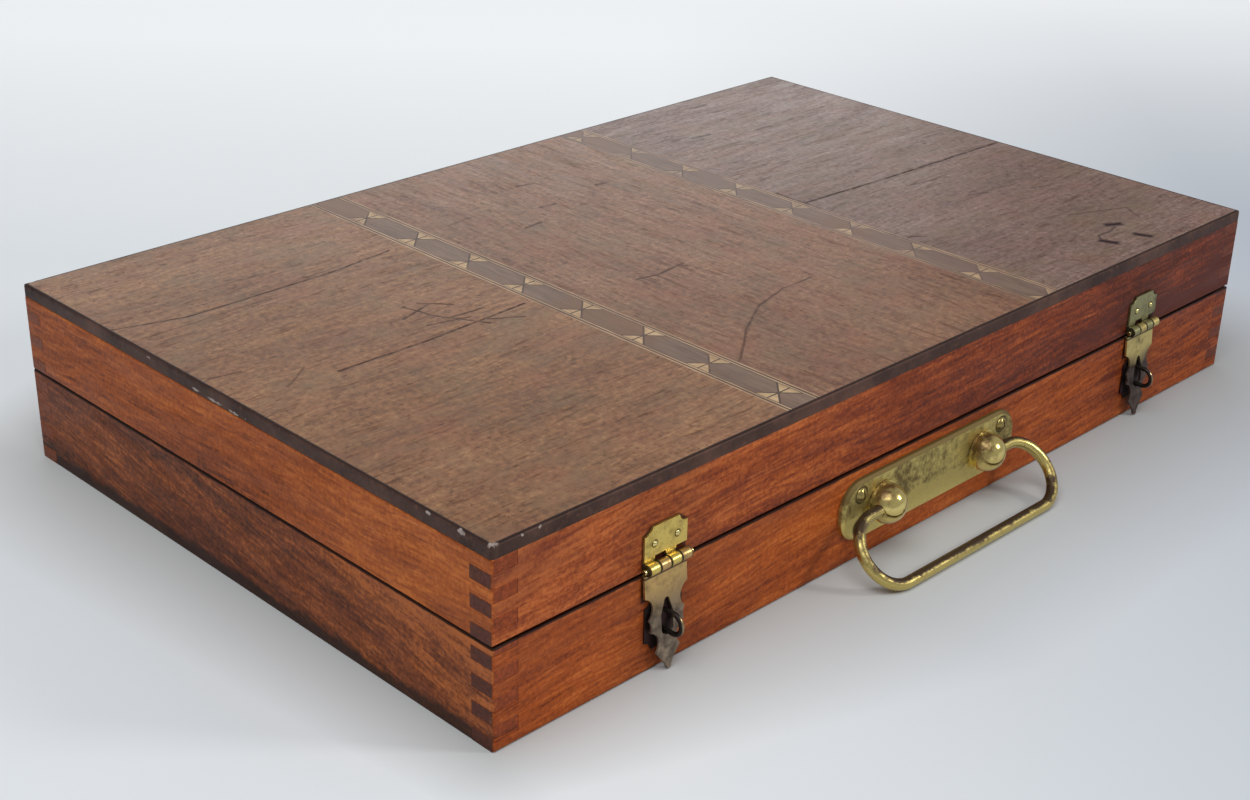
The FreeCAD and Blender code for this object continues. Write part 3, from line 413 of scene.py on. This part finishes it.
VENEER_BANDS = [(5, 30, 0.4), (16, 90, 0.45), (40, 360, 0.5), (60, 900, 0.9), (30, 22, 0.4)]
VENEER_STOPS = (0.10, 0.38, 0.62, 0.92)
# Grain axis, tones from dark to light and share of reddish flush
VENEERS = {
    "veneer_left": ("x", [(90, 54, 30), (120, 79, 48), (135, 93, 59), (158, 116, 78)], 0.36),
    "veneer_centre": ("y", [(86, 50, 32), (115, 74, 49), (129, 89, 62), (151, 110, 80)], 0.40),
    "veneer_right": ("x", [(83, 57, 48), (108, 80, 70), (122, 94, 83), (144, 115, 102)], 0.20),
}
VENEER_PORE = tone(70, 42, 31)
VENEER_SPECK = tone(58, 34, 24)
VENEER_CLOUD = tone(106, 86, 62)
VENEER_FLUSH = tone(138, 84, 60)
MARK_TONE = tone(52, 25, 14)
BLOT_TONE = tone(38, 17, 22)

# Dents: cells a metre along and across the grain, least and greatest size in a cell, share of
# cells without one, and strength
DENT_CELLS = (110, 320, 320)
DENT_LEAST, DENT_MOST = 0.06, 0.22
DENT_CHANCE = 0.80
DENT_STRENGTH = 0.55


def line_share(graph, x, y, points, width, wobble):
    """Share from 0 to 1 of a thin ragged line through points on the lid, all in millimetres."""
    best = None
    for start, end in zip(points, points[1:]):
        length = math.dist(start, end)
        unit_x, unit_y = (end[0] - start[0]) / length, (end[1] - start[1]) / length
        from_x = graph.minus(x, start[0])
        from_y = graph.minus(y, start[1])
        run = graph.plus(graph.times(from_x, unit_x), graph.times(from_y, unit_y))
        held = graph.most(graph.least(run, length), 0.0)
        beside = graph.minus(graph.times(from_y, unit_x), graph.times(from_x, unit_y))
        aside = graph.size(graph.plus(beside, wobble))
        distance = graph.most(aside, graph.size(graph.minus(run, held)))
        best = distance if best is None else graph.least(best, distance)
    return graph.between(best, width, width * LINE_CORE)


def marks_share(graph, lines, wobble):
    """Strongest of several lines on the lid."""
    x_metres, y_metres, _ = graph.split(graph.place)
    x, y = graph.times(x_metres, MILLIMETRES), graph.times(y_metres, MILLIMETRES)
    total = 0.0
    for points, width, strength in lines:
        line = line_share(graph, x, y, points, width, wobble)
        total = graph.most(total, graph.times(line, strength))
    return total


def dent_share(graph, grain):
    """Small dents strewn along the grain, each cell of the pattern by chance."""
    cells = graph.stretch(grain, DENT_CELLS)
    pattern = graph.add("TexVoronoi", {"Vector": cells, "Scale": 1.0})
    chance, size, _ = graph.add("SeparateColor", {0: pattern.outputs["Color"]}).outputs
    edge = graph.between(size, 0.0, 1.0, DENT_LEAST, DENT_MOST)
    near = graph.math("LESS_THAN", pattern.outputs["Distance"], edge)
    chosen = graph.math("GREATER_THAN", chance, DENT_CHANCE)
    return graph.times(graph.times(near, chosen), DENT_STRENGTH)


def veneer_material(name, seed):
    """Faded veneer: fine grain, dark pores and specks, long splits, scratches, dents and blots."""
    axis, tones, flushed = VENEERS[name]
    graph = Graph(name + "_wood")
    grain = along_grain(graph, axis, seed)
    mottle = graph.noise(graph.place, 430.0, detail=4.0, roughness=0.7)
    light = graph.plus(wood_light(graph, grain, VENEER_BANDS), graph.about(mottle, 1.7))
    colour = graph.ramp(light, VENEER_STOPS, tones)
    pores = wood_pores(graph, grain, 80, 650, 0.56, 0.68)
    colour = graph.mix(graph.times(pores, 0.5), colour, VENEER_PORE)
    specks = graph.between(graph.noise(graph.place, 620.0, roughness=0.6), 0.58, 0.70)
    colour = graph.mix(graph.times(specks, 0.5), colour, VENEER_SPECK)
    cloud = graph.waves(graph.place, (48, 48, 48), detail=5.0, roughness=0.7, offset=(seed, 0, 0))
    colour = graph.mix(graph.between(cloud, 0.46, 0.66, 0.0, 0.5), colour, VENEER_CLOUD)
    flush = graph.waves(graph.place, (40, 40, 40), detail=5.0, roughness=0.7, offset=(seed, 7, 0))
    colour = graph.mix(graph.between(flush, 0.48, 0.70, 0.0, flushed), colour, VENEER_FLUSH)

    # Dents, splits, scratches and blots
    wobble = graph.about(graph.noise(graph.place, 90.0, detail=4.0, roughness=0.65), LINE_WOBBLE)
    breaks = graph.between(graph.noise(graph.place, 240.0), 0.36, 0.56, 0.6, 1.0)
    lines = marks_share(graph, MARKS[name], wobble)
    marks = graph.times(graph.most(dent_share(graph, grain), lines), breaks)
    colour = graph.mix(marks, colour, MARK_TONE)
    if name in BLOTS:
        blots = marks_share(graph, BLOTS[name], wobble)
        colour = graph.mix(blots, colour, BLOT_TONE)
        marks = graph.most(marks, blots)

    sheen = graph.waves(grain, (40, 300, 300))
    roughness = graph.between(sheen, 0.3, 0.7, 0.30, 0.44)
    dull = graph.most(marks, graph.times(graph.most(pores, specks), 0.7))
    gloss = graph.between(dull, 0.0, 1.0, 0.24, 0.03)
    graph.set(Base_Color=colour, Roughness=roughness, Specular_IOR_Level=gloss)
    hollows = graph.plus(graph.times(pores, 0.5), graph.times(marks, 1.5))
    graph.bump(graph.times(hollows, -1.0), FINE_BUMP, 0.22)
    return graph.material


# Inlay tones from dark to light, extra wear, and how much browner some pieces along the band are
INLAYS = {
    "stringing": ([(128, 98, 70), (164, 132, 98), (188, 158, 122)], 0.05, 0.0),
    "triangles": ([(140, 110, 76), (175, 144, 105), (197, 168, 128)], 0.1, 0.0),
    "lozenges": ([(88, 66, 52), (108, 84, 68), (126, 101, 84)], 0.0, 0.6),
    "ground": ([(50, 32, 24), (68, 46, 35), (88, 62, 48)], 0.1, 0.0),
}
# Wear of each band and the tone that shows where it is worn
BANDS = {"left": (0.1, (118, 82, 58)), "right": (0.42, (110, 84, 74))}
INLAY_BANDS = [(20, 120, 0.6), (40, 500, 0.7), (100, 1000, 0.7)]
INLAY_PORE = tone(66, 44, 32)
INLAY_BROWN = tone(112, 76, 50)


def inlay_material(name, side, piece, seed):
    """Inlay wood, worn so that the brown of the lid shows in places."""
    tones, piece_wear, browner = INLAYS[piece]
    side_wear, worn_tone = BANDS[side]
    wear = side_wear + piece_wear
    graph = Graph(name + "_wood")
    grain = along_grain(graph, "y", seed)
    light = wood_light(graph, grain, INLAY_BANDS)
    pores = wood_pores(graph, grain, 150, 1000, 0.58, 0.72)
    colour = graph.ramp(light, THREE_STOPS, tones)
    colour = graph.mix(graph.times(pores, 0.35), colour, INLAY_PORE)
    if browner:
        patch = graph.waves(graph.place, (2, 19, 2), detail=1.0, offset=(seed, 0, 0))
        colour = graph.mix(graph.between(patch, 0.48, 0.60, 0.0, browner), colour, INLAY_BROWN)
    rub = graph.waves(graph.place, (70, 30, 70), detail=5.0, roughness=0.7, offset=(seed, 0, 0))
    faded = graph.between(rub, 0.60 - wear * 0.4, 0.74 - wear * 0.3, 0.0, 0.8)
    colour = graph.mix(faded, colour, tone(*worn_tone))
    graph.set(Base_Color=colour, Roughness=0.40, Specular_IOR_Level=0.22)
    graph.bump(graph.minus(graph.times(light, 0.2), pores), FINE_BUMP, 0.25)
    return graph.material


# Chips of the lid's black edge: middle and reach in millimetres, and length along the side
# against width
EDGE_CHIPS = [
    ((-210, 8.0, 67.9), 0.55, 9), ((-210, -4.0, 67.7), 0.5, 8), ((-210, 18.0, 68.3), 0.5, 5),
    ((-210, 47.0, 70.6), 0.6, 1.5), ((-208.6, -131.2, 71.6), 1.3, 1), ((-210, -119, 70.9), 0.8, 2),
    ((-210, -132.2, 70.0), 0.6, 1), ((-210, -104, 71.3), 0.6, 2.5), ((-191, -132.5, 71.3), 0.8, 1),
    ((-198, -132.5, 71.0), 0.6, 1), ((-207, 131.5, 71.6), 1.2, 1), ((-203, 132, 71.7), 1.0, 1),
]
EDGE_TONES = [(44, 29, 24), (70, 49, 42), (100, 71, 59)]
EDGE_TOP = tone(34, 19, 15)
EDGE_CHIP = tone(172, 158, 148)
# Metres for each millimetre of a chip's reach: its raggedness, its end and where it is whole
CHIP_RAGGED, CHIP_END, CHIP_FULL = 0.004, 0.0010, 0.0006
# Depth of the edge's relief, in metres
EDGE_BUMP = 0.0002


def chip_share(graph, flakes):
    """The edge's chips, from 0 to 1, with a few strewn by chance."""
    chips = graph.between(flakes, 0.78, 0.80)
    for middle, reach, length in EDGE_CHIPS:
        place = tuple(value / MILLIMETRES for value in middle)
        beside = graph.vector_math("SUBTRACT", graph.place, place)
        squeezed = graph.vector_math("MULTIPLY", beside, (1, 1 / length, 1))
        away = graph.vector_math("DISTANCE", squeezed)
        ragged = graph.plus(away, graph.about(flakes, reach * CHIP_RAGGED))
        chip = graph.between(ragged, reach * CHIP_END, reach * CHIP_FULL)
        chips = graph.most(chips, chip)
    return chips


def edge_material(name, seed):
    """Blackened edge strip, rubbed brown and chipped to pale wood in places."""
    graph = Graph(name + "_wood")
    blotch = graph.waves(graph.place, (35, 35, 35), detail=5.0, roughness=0.65, offset=(seed, 0, 0))
    fine = graph.noise(graph.place, 420.0, roughness=0.6)
    colour = graph.ramp(blotch, (0.3, 0.5, 0.72), EDGE_TONES)
    colour = graph.mix(graph.between(fine, 0.52, 0.75, 0.0, 0.6), colour, tone(*EDGE_TONES[-1]))
    top = graph.between(graph.split(graph.facing)[2], 0.7, 0.95, 0.0, 0.8)
    colour = graph.mix(top, colour, EDGE_TOP)
    chips = chip_share(graph, graph.noise(graph.place, 520.0, roughness=0.6))
    colour = graph.mix(graph.times(chips, 0.75), colour, EDGE_CHIP)
    roughness = graph.between(fine, 0.3, 0.7, 0.36, 0.58)
    graph.set(Base_Color=colour, Roughness=roughness, Specular_IOR_Level=0.13)
    graph.bump(graph.minus(fine, graph.times(chips, 2.0)), EDGE_BUMP, 0.5)
    return graph.material


# Brass

# Brass by use: bright and dark tone, tarnish, roughness and seed
BRASSES = {
    "backplate": ((232, 212, 130), (108, 90, 48), 0.52, 0.34, 1),
    "bail": ((204, 184, 112), (66, 49, 31), 0.45, 0.26, 2),
    "fastener": ((222, 206, 140), (112, 92, 54), 0.2, 0.22, 3),
    "hinge": ((186, 160, 92), (84, 64, 40), 0.45, 0.36, 4),
    "staple": ((150, 132, 98), (30, 24, 21), 0.8, 0.24, 5),
    "hasp_left": ((222, 196, 108), (128, 104, 54), 0.35, 0.34, 6),
    "hasp_right": ((160, 154, 108), (78, 74, 50), 0.5, 0.36, 7),
    "tongue_left": ((200, 166, 108), (108, 82, 52), 0.42, 0.36, 8),
    "tongue_right": ((212, 190, 120), (96, 82, 50), 0.42, 0.36, 9),
    "post": ((228, 206, 130), (98, 74, 40), 0.38, 0.14, 10),
    # The staple plates' near-black tones are painted shade as well as tarnish
    "staple_plate": ((66, 46, 45), (26, 15, 16), 0.6, 0.42, 11),
    "screw": ((176, 156, 96), (82, 64, 36), 0.5, 0.24, 12),
}
# Painted shade and highlights by the way that a face looks, added to the tarnish: a darker top
# bevel on the backplate, a shaded upper left and lit front on the posts, a darker top and inner
# side on the bail that is partly real tarnish, and a bright crescent on the staple; direction,
# range along it and what is added at its ends
PAINTED_SHADES = {
    "backplate": ((0, -0.2, 1), 0.3, 0.8, 0.0, 0.22),
    "post": ((-0.5, 0.4, 0.75), -0.2, 0.8, -0.10, 0.16),
    "bail": ((0.35, 0.5, 0.8), -0.5, 0.7, -0.12, 0.28),
    "staple": ((0.25, -0.95, 0.1), 0.55, 0.9, 0.1, -0.35),
}
# Grey lower part of a tongue: heights in metres where it starts and is full, dark and light tone
TONGUE_GREYS = {
    "left": (0.032, 0.020, (92, 79, 68), (150, 132, 112)),
    "right": (0.0285, 0.0225, (54, 42, 39), (96, 79, 70)),
}
# Brass of the other nodes by the start of their names, of which the first that fits counts
PLAIN_BRASS = (
    ("handle_bail", "bail"), ("handle_post", "post"), ("handle_screws", "screw"), ("hinge", "hinge"),
    ("staple_plate", "staple_plate"), ("staple", "staple"), ("hasp_nails", "fastener"),
    ("hasp_left_pin", "fastener"), ("hasp_right_pin", "fastener"),
)
BRASS_DIRT_AND_SHADE = tone(30, 22, 15)
SCRATCH_WAVES, SCRATCH_TURN = (300, 300, 2600), (0.2, 0.5, 0.1)

# Step from one seed to the next along the first two axes, in metres
BRASS_STEPS = (0.37, 0.11)
# The backplate's strip rubbed bright and a tongue's grey part, in metres
RUBBED_STRIP, RUBBED_BORDER, RUBBED_RAGGED = 0.0085, 0.0012, 0.010
GREY_RAGGED = 0.012
# Dirt and painted shade on brass, in metres: pairs are the distance where it ends and the one
# where it is full, from a barrel's pin, from the gap of two knuckles and from the painted shadow
# line under a barrel
BARREL_GAP_REACH = (0.0032, 0.0026)
BESIDE_INNER, BESIDE_OUTER = (0.00202, 0.0022), (0.0031, 0.0023)
GAP_DIRT_AND_SHADE = (0.0008, 0.0003)
LINE_SHADOW, LINE_DROP = (0.0006, 0.0003), 0.0035
# The same round a head, in its radius
RING_END, RING_FULL = 1.5, 1.1


class Brass:
    """Old brass with mottled tarnish and fine scratches; more can be asked for before it is made."""

    def __init__(self, use):
        bright, dark, self.tarnish, self.rough, seed = BRASSES[use]
        self.use = use
        self.bright, self.dark = tone(*bright), tone(*dark)
        graph = self.graph = Graph(use + "_metal")
        offset = (*(seed * step for step in BRASS_STEPS), 0)
        self.place = graph.stretch(graph.place, (1, 1, 1), offset)
        self.mottle = graph.noise(self.place, 320.0, detail=5.0, roughness=0.65)
        self.broad = graph.noise(self.place, 70.0)
        self.total = graph.plus(graph.times(self.mottle, 0.55), graph.times(self.broad, 0.45))
        self.dirt_and_shade = None
        self.grey = None

    def soil_and_shade(self, share):
        """Dirt and painted shade on top of the tarnish."""
        self.dirt_and_shade = share if self.dirt_and_shade is None else self.graph.most(self.dirt_and_shade, share)

    def paint_shade(self, direction, low, high, low_to, high_to):
        """Painted shade and highlight by the way that a face looks, as more or less tarnish."""
        turned = self.graph.vector_math("DOT_PRODUCT", self.graph.facing, direction)
        added = self.graph.between(turned, low, high, low_to, high_to)
        self.total = self.graph.plus(self.total, added)

    def ragged_height(self, amount):
        """Height in metres, moved up and down by the broad mottle."""
        z = self.graph.split(self.graph.place)[2]
        return self.graph.plus(z, self.graph.about(self.broad, amount))

    def rub_below(self, height):
        """A strip under a height rubbed bright, with a ragged border."""
        ragged = self.ragged_height(RUBBED_RAGGED)
        strip = self.graph.between(ragged, height, height + RUBBED_BORDER, -0.16, 0.05)
        self.total = self.graph.plus(self.total, strip)

    def turn_grey(self, high, low, dark, light):
        """Grey lower part between two heights."""
        ragged = self.ragged_height(GREY_RAGGED)
        share = self.graph.between(self.mottle, 0.35, 0.7)
        grey = self.graph.mix(share, tone(*dark), tone(*light))
        self.grey = (self.graph.between(ragged, high, low), grey)

    def ring(self, x, z, radius):
        """Dirt and painted shade round a head that stands on a front face, in metres."""
        graph = self.graph
        place_x, _, place_z = graph.split(graph.place)
        away = graph.vector_math("DISTANCE", graph.join(place_x, 0.0, place_z), (x, 0, z))
        self.soil_and_shade(graph.between(away, radius * RING_END, radius * RING_FULL, 0.0, 0.85))

    def soil_and_shade_gaps(self, pin, places):
        """Dirt and painted shade beside a pin's barrel and at the places where knuckles meet."""
        graph = self.graph
        x, y, z = graph.split(graph.place)
        away = graph.vector_math("DISTANCE", graph.join(0.0, y, z), (0, pin.y, pin.z))
        inner = graph.between(away, *BESIDE_INNER)
        outer = graph.between(away, *BESIDE_OUTER)
        self.soil_and_shade(graph.times(graph.times(inner, outer), 0.7))
        barrel = graph.between(away, *BARREL_GAP_REACH, 0.0, 0.9)
        for place in places:
            line = graph.between(graph.size(graph.minus(x, place)), *GAP_DIRT_AND_SHADE)
            self.soil_and_shade(graph.times(line, barrel))

    def soil_and_shadow_line(self, height):
        """A thin painted shadow line, with dirt, at one height, in metres."""
        z = self.graph.split(self.graph.place)[2]
        away = self.graph.size(self.graph.minus(z, height))
        self.soil_and_shade(self.graph.between(away, *LINE_SHADOW, 0.0, 0.8))

    def make(self):
        graph = self.graph
        # Painted shade and highlights by the way that a face looks
        if self.use in PAINTED_SHADES:
            self.paint_shade(*PAINTED_SHADES[self.use])
        eased = self.tarnish * 0.3
        share = graph.between(self.total, 0.60 - eased, 0.80 - eased)
        spots = graph.noise(self.place, 1300.0, roughness=0.6)
        share = graph.most(share, graph.between(spots, 0.62, 0.72, 0.0, 0.7))
        # Dirt and painted shade on top of the tarnish
        if self.dirt_and_shade is not None:
            share = graph.most(share, self.dirt_and_shade)
        colour = graph.mix(share, self.bright, self.dark)
        if self.dirt_and_shade is not None:
            colour = graph.mix(graph.between(self.dirt_and_shade, 0.5, 0.9, 0.0, 0.8), colour, BRASS_DIRT_AND_SHADE)
        roughness = graph.between(share, 0.0, 1.0, self.rough, self.rough + 0.22)
        metal = graph.between(share, 0.0, 1.0, 1.0, 0.6)
        if self.grey:
            low, grey = self.grey
            colour = graph.mix(low, colour, grey)
            roughness = graph.plus(roughness, graph.times(low, 0.10))
            metal = graph.times(metal, graph.between(low, 0.0, 1.0, 1.0, 0.7))
        graph.set(Base_Color=colour, Roughness=roughness, Metallic=metal)
        turned = graph.stretch(self.place, SCRATCH_WAVES, turn=SCRATCH_TURN)
        scratches = graph.noise(turned, detail=2.0)
        relief = graph.plus(graph.times(self.mottle, 0.8), graph.times(scratches, 0.3))
        graph.bump(relief, FINE_BUMP, 0.45)
        return graph.material


# Give every node its material

# First seed of each kind of wood, so that no two pieces share their grain
BOARD_SEED = 1
PANEL_SEED = 21
VENEER_SEED = 31
EDGE_SEED = 41
BAND_SEEDS = {"left": 51, "right": 56}


def assign(name, material):
    slots = nodes[name].data.materials
    slots.clear()
    slots.append(material)


def dress_wood():
    sides = ("front", "left", "back", "right")
    boards = [f"{part}_{side}" for part in ("lid", "base") for side in sides]
    for seed, board in enumerate(boards, BOARD_SEED):
        assign(board + "_board", board_material(board, seed))
    for seed, name in enumerate(("base_bottom_panel", "lid_core_panel"), PANEL_SEED):
        assign(name, panel_material(name, seed))
    for seed, name in enumerate(VENEERS, VENEER_SEED):
        assign(name, veneer_material(name, seed))
    for seed, side in enumerate(("front", "back", "left", "right"), EDGE_SEED):
        name = f"lid_edge_{side}"
        assign(name, edge_material(name, seed))
    for side, first_seed in BAND_SEEDS.items():
        for seed, piece in enumerate(INLAYS, first_seed):
            name = f"band_{side}_{piece}"
            assign(name, inlay_material(name, side, piece, seed))


def dress_backplate():
    """The handle's plate, rubbed along its foot, dirt and painted shade round the four screws."""
    plate_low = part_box("handle_backplate")[0].z
    screws_low, screws_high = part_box("handle_screws")
    plate = Brass("backplate")
    plate.rub_below(plate_low + RUBBED_STRIP)
    for x in (screws_low.x + SCREW_HEAD, screws_high.x - SCREW_HEAD):
        for z in (screws_low.z + SCREW_HEAD, screws_high.z - SCREW_HEAD):
            plate.ring(x, z, SCREW_HEAD)
    assign("handle_backplate", plate.make())


def dress_hasp(side):
    """Both leaves of one hasp, with dirt and painted shade round the nails and between knuckles."""
    plate, tongue = Brass(f"hasp_{side}"), Brass(f"tongue_{side}")
    tongue.turn_grey(*TONGUE_GREYS[side])
    middle = -HASP_MIDDLE if side == "left" else HASP_MIDDLE
    nail_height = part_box("hasp_nails")[1].z - NAIL_HEAD
    # Dirt and painted shade round each nail head
    for step in (-NAIL_SPACING / 2, NAIL_SPACING / 2):
        plate.ring(middle + step, nail_height, NAIL_HEAD)
    pin_low, pin_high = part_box(f"hasp_{side}_pin")
    pin = (pin_low + pin_high) / 2
    # A painted shadow line, with dirt, under the tongue's barrel
    tongue.soil_and_shadow_line(pin.z - LINE_DROP)
    pitch = 2 * HASP_HALF / HASP_KNUCKLES
    gaps = [middle - HASP_HALF + pitch * step for step in range(HASP_KNUCKLES + 1)]
    for leaf, piece in ((plate, "lid_plate"), (tongue, "tongue")):
        leaf.soil_and_shade_gaps(pin, gaps)
        assign(f"hasp_{side}_{piece}", leaf.make())


def dress_brass():
    dress_backplate()
    for side in ("left", "right"):
        dress_hasp(side)
    made = {}
    for name in nodes:
        for start, use in PLAIN_BRASS:
            if name.startswith(start):
                if use not in made:
                    made[use] = Brass(use).make()
                assign(name, made[use])
                break


# Weld distance and width of eased edges in metres, angles in degrees
WELD_DISTANCE = 1e-6
WOOD_EASE, METAL_EASE = 0.00028, 0.00018
FLAT_ANGLE = 0.3
EASE_ANGLE = 40
EASE_STEPS = 2


def soften_edges():
    """Ease the solids' sharp edges a little, so that joints and rims catch the light."""
    for name, item in nodes.items():
        if name.startswith(("band", "veneer")):
            continue
        wood = "board" in name or "panel" in name or "edge" in name
        weld = item.modifiers.new("weld", "WELD")
        weld.merge_threshold = WELD_DISTANCE
        flat = item.modifiers.new("flat", "DECIMATE")
        flat.decimate_type = "DISSOLVE"
        flat.angle_limit = math.radians(FLAT_ANGLE)
        bevel = item.modifiers.new("ease", "BEVEL")
        bevel.width = WOOD_EASE if wood else METAL_EASE
        bevel.segments = EASE_STEPS
        bevel.limit_method = "ANGLE"
        bevel.angle_limit = math.radians(EASE_ANGLE)
        item.modifiers.new("normals", "WEIGHTED_NORMAL").keep_sharp = False


# Floor, light and camera

# Floor: half its size in metres, its tones, and the share of each axis in a diagonal
FLOOR_HALF = 6
PAPER_DARK, PAPER_LIGHT = tone(218, 222, 225), tone(228, 232, 234)
FAR_LIGHT_TONE = tone(253, 254, 255)
RIGHT_SHADE_TONE = tone(178, 184, 193)
SHADE_TONE = tone(140, 137, 130)
DIAGONAL = 0.707
# Diagonal distances in metres: where the painted far light starts and is whole, where the painted
# shade on the right starts to fade and is gone, and how far aside it is whole, with its share there
FAR_DEPTHS, RIGHT_DEPTHS = (0.15, 0.55), (0.25, 0.7)
RIGHT_ASIDE, RIGHT_SHARE = 0.3, 0.95

# Shade beside the case: its reach in metres grows from front to back and again from the left end
# towards the middle, where it is also deepest
SHADE_FRONT_BACK, SHADE_SIDE_REACH = (-0.13, 0.10), (0.028, 0.055)
SHADE_LEFT_MIDDLE, SHADE_ADDED_REACH = (-0.21, -0.05), (0.0, 0.058)
SHADE_SHARES = (0.56, 0.66)

WORLD_COLOUR, WORLD_STRENGTH = (0.94, 0.97, 1.0, 1.0), 0.42
# Lamps: place, target and size in metres, power in watts, colour
LAMPS = {
    "window": ((-0.9, -0.6, 1.9), (0, 0, 0), (1.6, 1.2), 27, (0.97, 0.985, 1.0)),
    "lamp": ((0.9, -1.3, 0.85), (0, -0.1, 0.03), (0.28, 0.28), 9, (1.0, 0.98, 0.95)),
    "backdrop": ((0.95, 1.5, 0.35), (0, 0, 0.1), (1.7, 0.5), 6.3, (1.0, 1.0, 1.0)),
}

# Camera: sensor and lens in millimetres, nearest distance and place in metres, and its axes
SENSOR_WIDTH, LENS = 36.0, 55.61
NEAREST = 0.01
CAMERA_PLACE = (-0.52223, -0.495107, 0.348454)
CAMERA_RIGHT = (0.711763, -0.70212, 0.020526)
CAMERA_UP = (0.291147, 0.321487, 0.901044)
CAMERA_BACK = (-0.639239, -0.635353, 0.433243)


def floor_material():
    """Pale paper with painted light far off and painted shade to the right and beside the case."""
    graph = Graph("floor_paper")
    cloud = graph.noise(graph.place, 5.0, detail=4.0, roughness=0.55)
    colour = graph.mix(cloud, PAPER_DARK, PAPER_LIGHT)
    x, y, _ = graph.split(graph.place)
    depth = graph.times(graph.plus(x, y), DIAGONAL)
    aside = graph.times(graph.minus(x, y), DIAGONAL)
    # Painted light far off, painted shade to the right and, further on, beside the case
    colour = graph.mix(graph.between(depth, *FAR_DEPTHS), colour, FAR_LIGHT_TONE)
    near = graph.between(depth, *RIGHT_DEPTHS, 1.0, 0.0)
    right = graph.times(near, graph.between(aside, 0.0, RIGHT_ASIDE, 0.0, RIGHT_SHARE))
    colour = graph.mix(right, colour, RIGHT_SHADE_TONE)
    beyond_x = graph.most(graph.minus(graph.size(x), HALF_WIDTH), 0.0)
    beyond_y = graph.most(graph.minus(graph.size(y), HALF_DEPTH), 0.0)
    away = graph.vector_math("DISTANCE", graph.join(beyond_x, beyond_y, 0.0))
    beside_left = graph.between(y, *SHADE_FRONT_BACK, *SHADE_SIDE_REACH)
    along_front = graph.between(x, *SHADE_LEFT_MIDDLE, *SHADE_ADDED_REACH)
    reach = graph.plus(beside_left, along_front)
    deepest = graph.between(x, *SHADE_LEFT_MIDDLE, *SHADE_SHARES)
    colour = graph.mix(graph.between(away, 0.0, reach, deepest, 0.0), colour, SHADE_TONE)
    graph.set(Base_Color=colour, Roughness=0.75)
    return graph.material


def add_floor():
    mesh = bpy.data.meshes.new("floor")
    signs = ((-1, -1), (1, -1), (1, 1), (-1, 1))
    corners = [(x * FLOOR_HALF, y * FLOOR_HALF, 0) for x, y in signs]
    mesh.from_pydata(corners, [], [(0, 1, 2, 3)])
    floor = bpy.data.objects.new("floor", mesh)
    bpy.context.scene.collection.objects.link(floor)
    mesh.materials.append(floor_material())


def add_area(name, place, target, size, power, colour):
    data = bpy.data.lights.new(name, "AREA")
    data.shape = "RECTANGLE"
    data.size, data.size_y = size
    data.energy = power
    data.color = colour
    lamp = bpy.data.objects.new(name, data)
    lamp.location = place
    aim = Vector(target) - Vector(place)
    lamp.rotation_euler = aim.to_track_quat("-Z", "Y").to_euler()
    bpy.context.scene.collection.objects.link(lamp)


def add_light():
    world = bpy.data.worlds.new("studio")
    bpy.context.scene.world = world
    world.use_nodes = True
    background = world.node_tree.nodes["Background"]
    background.inputs["Color"].default_value = WORLD_COLOUR
    background.inputs["Strength"].default_value = WORLD_STRENGTH
    for name, settings in LAMPS.items():
        add_area(name, *settings)


def add_camera():
    data = bpy.data.cameras.new("camera")
    data.sensor_width = SENSOR_WIDTH
    data.lens = LENS
    data.clip_start = NEAREST
    camera = bpy.data.objects.new("camera", data)
    axes = Matrix((CAMERA_RIGHT, CAMERA_UP, CAMERA_BACK)).transposed().to_4x4()
    camera.matrix_world = Matrix.Translation(CAMERA_PLACE) @ axes
    bpy.context.scene.collection.objects.link(camera)
    bpy.context.scene.camera = camera


dress_wood()
dress_brass()
soften_edges()
add_floor()
add_light()
add_camera()
bpy.context.scene.view_settings.view_transform = "Standard"
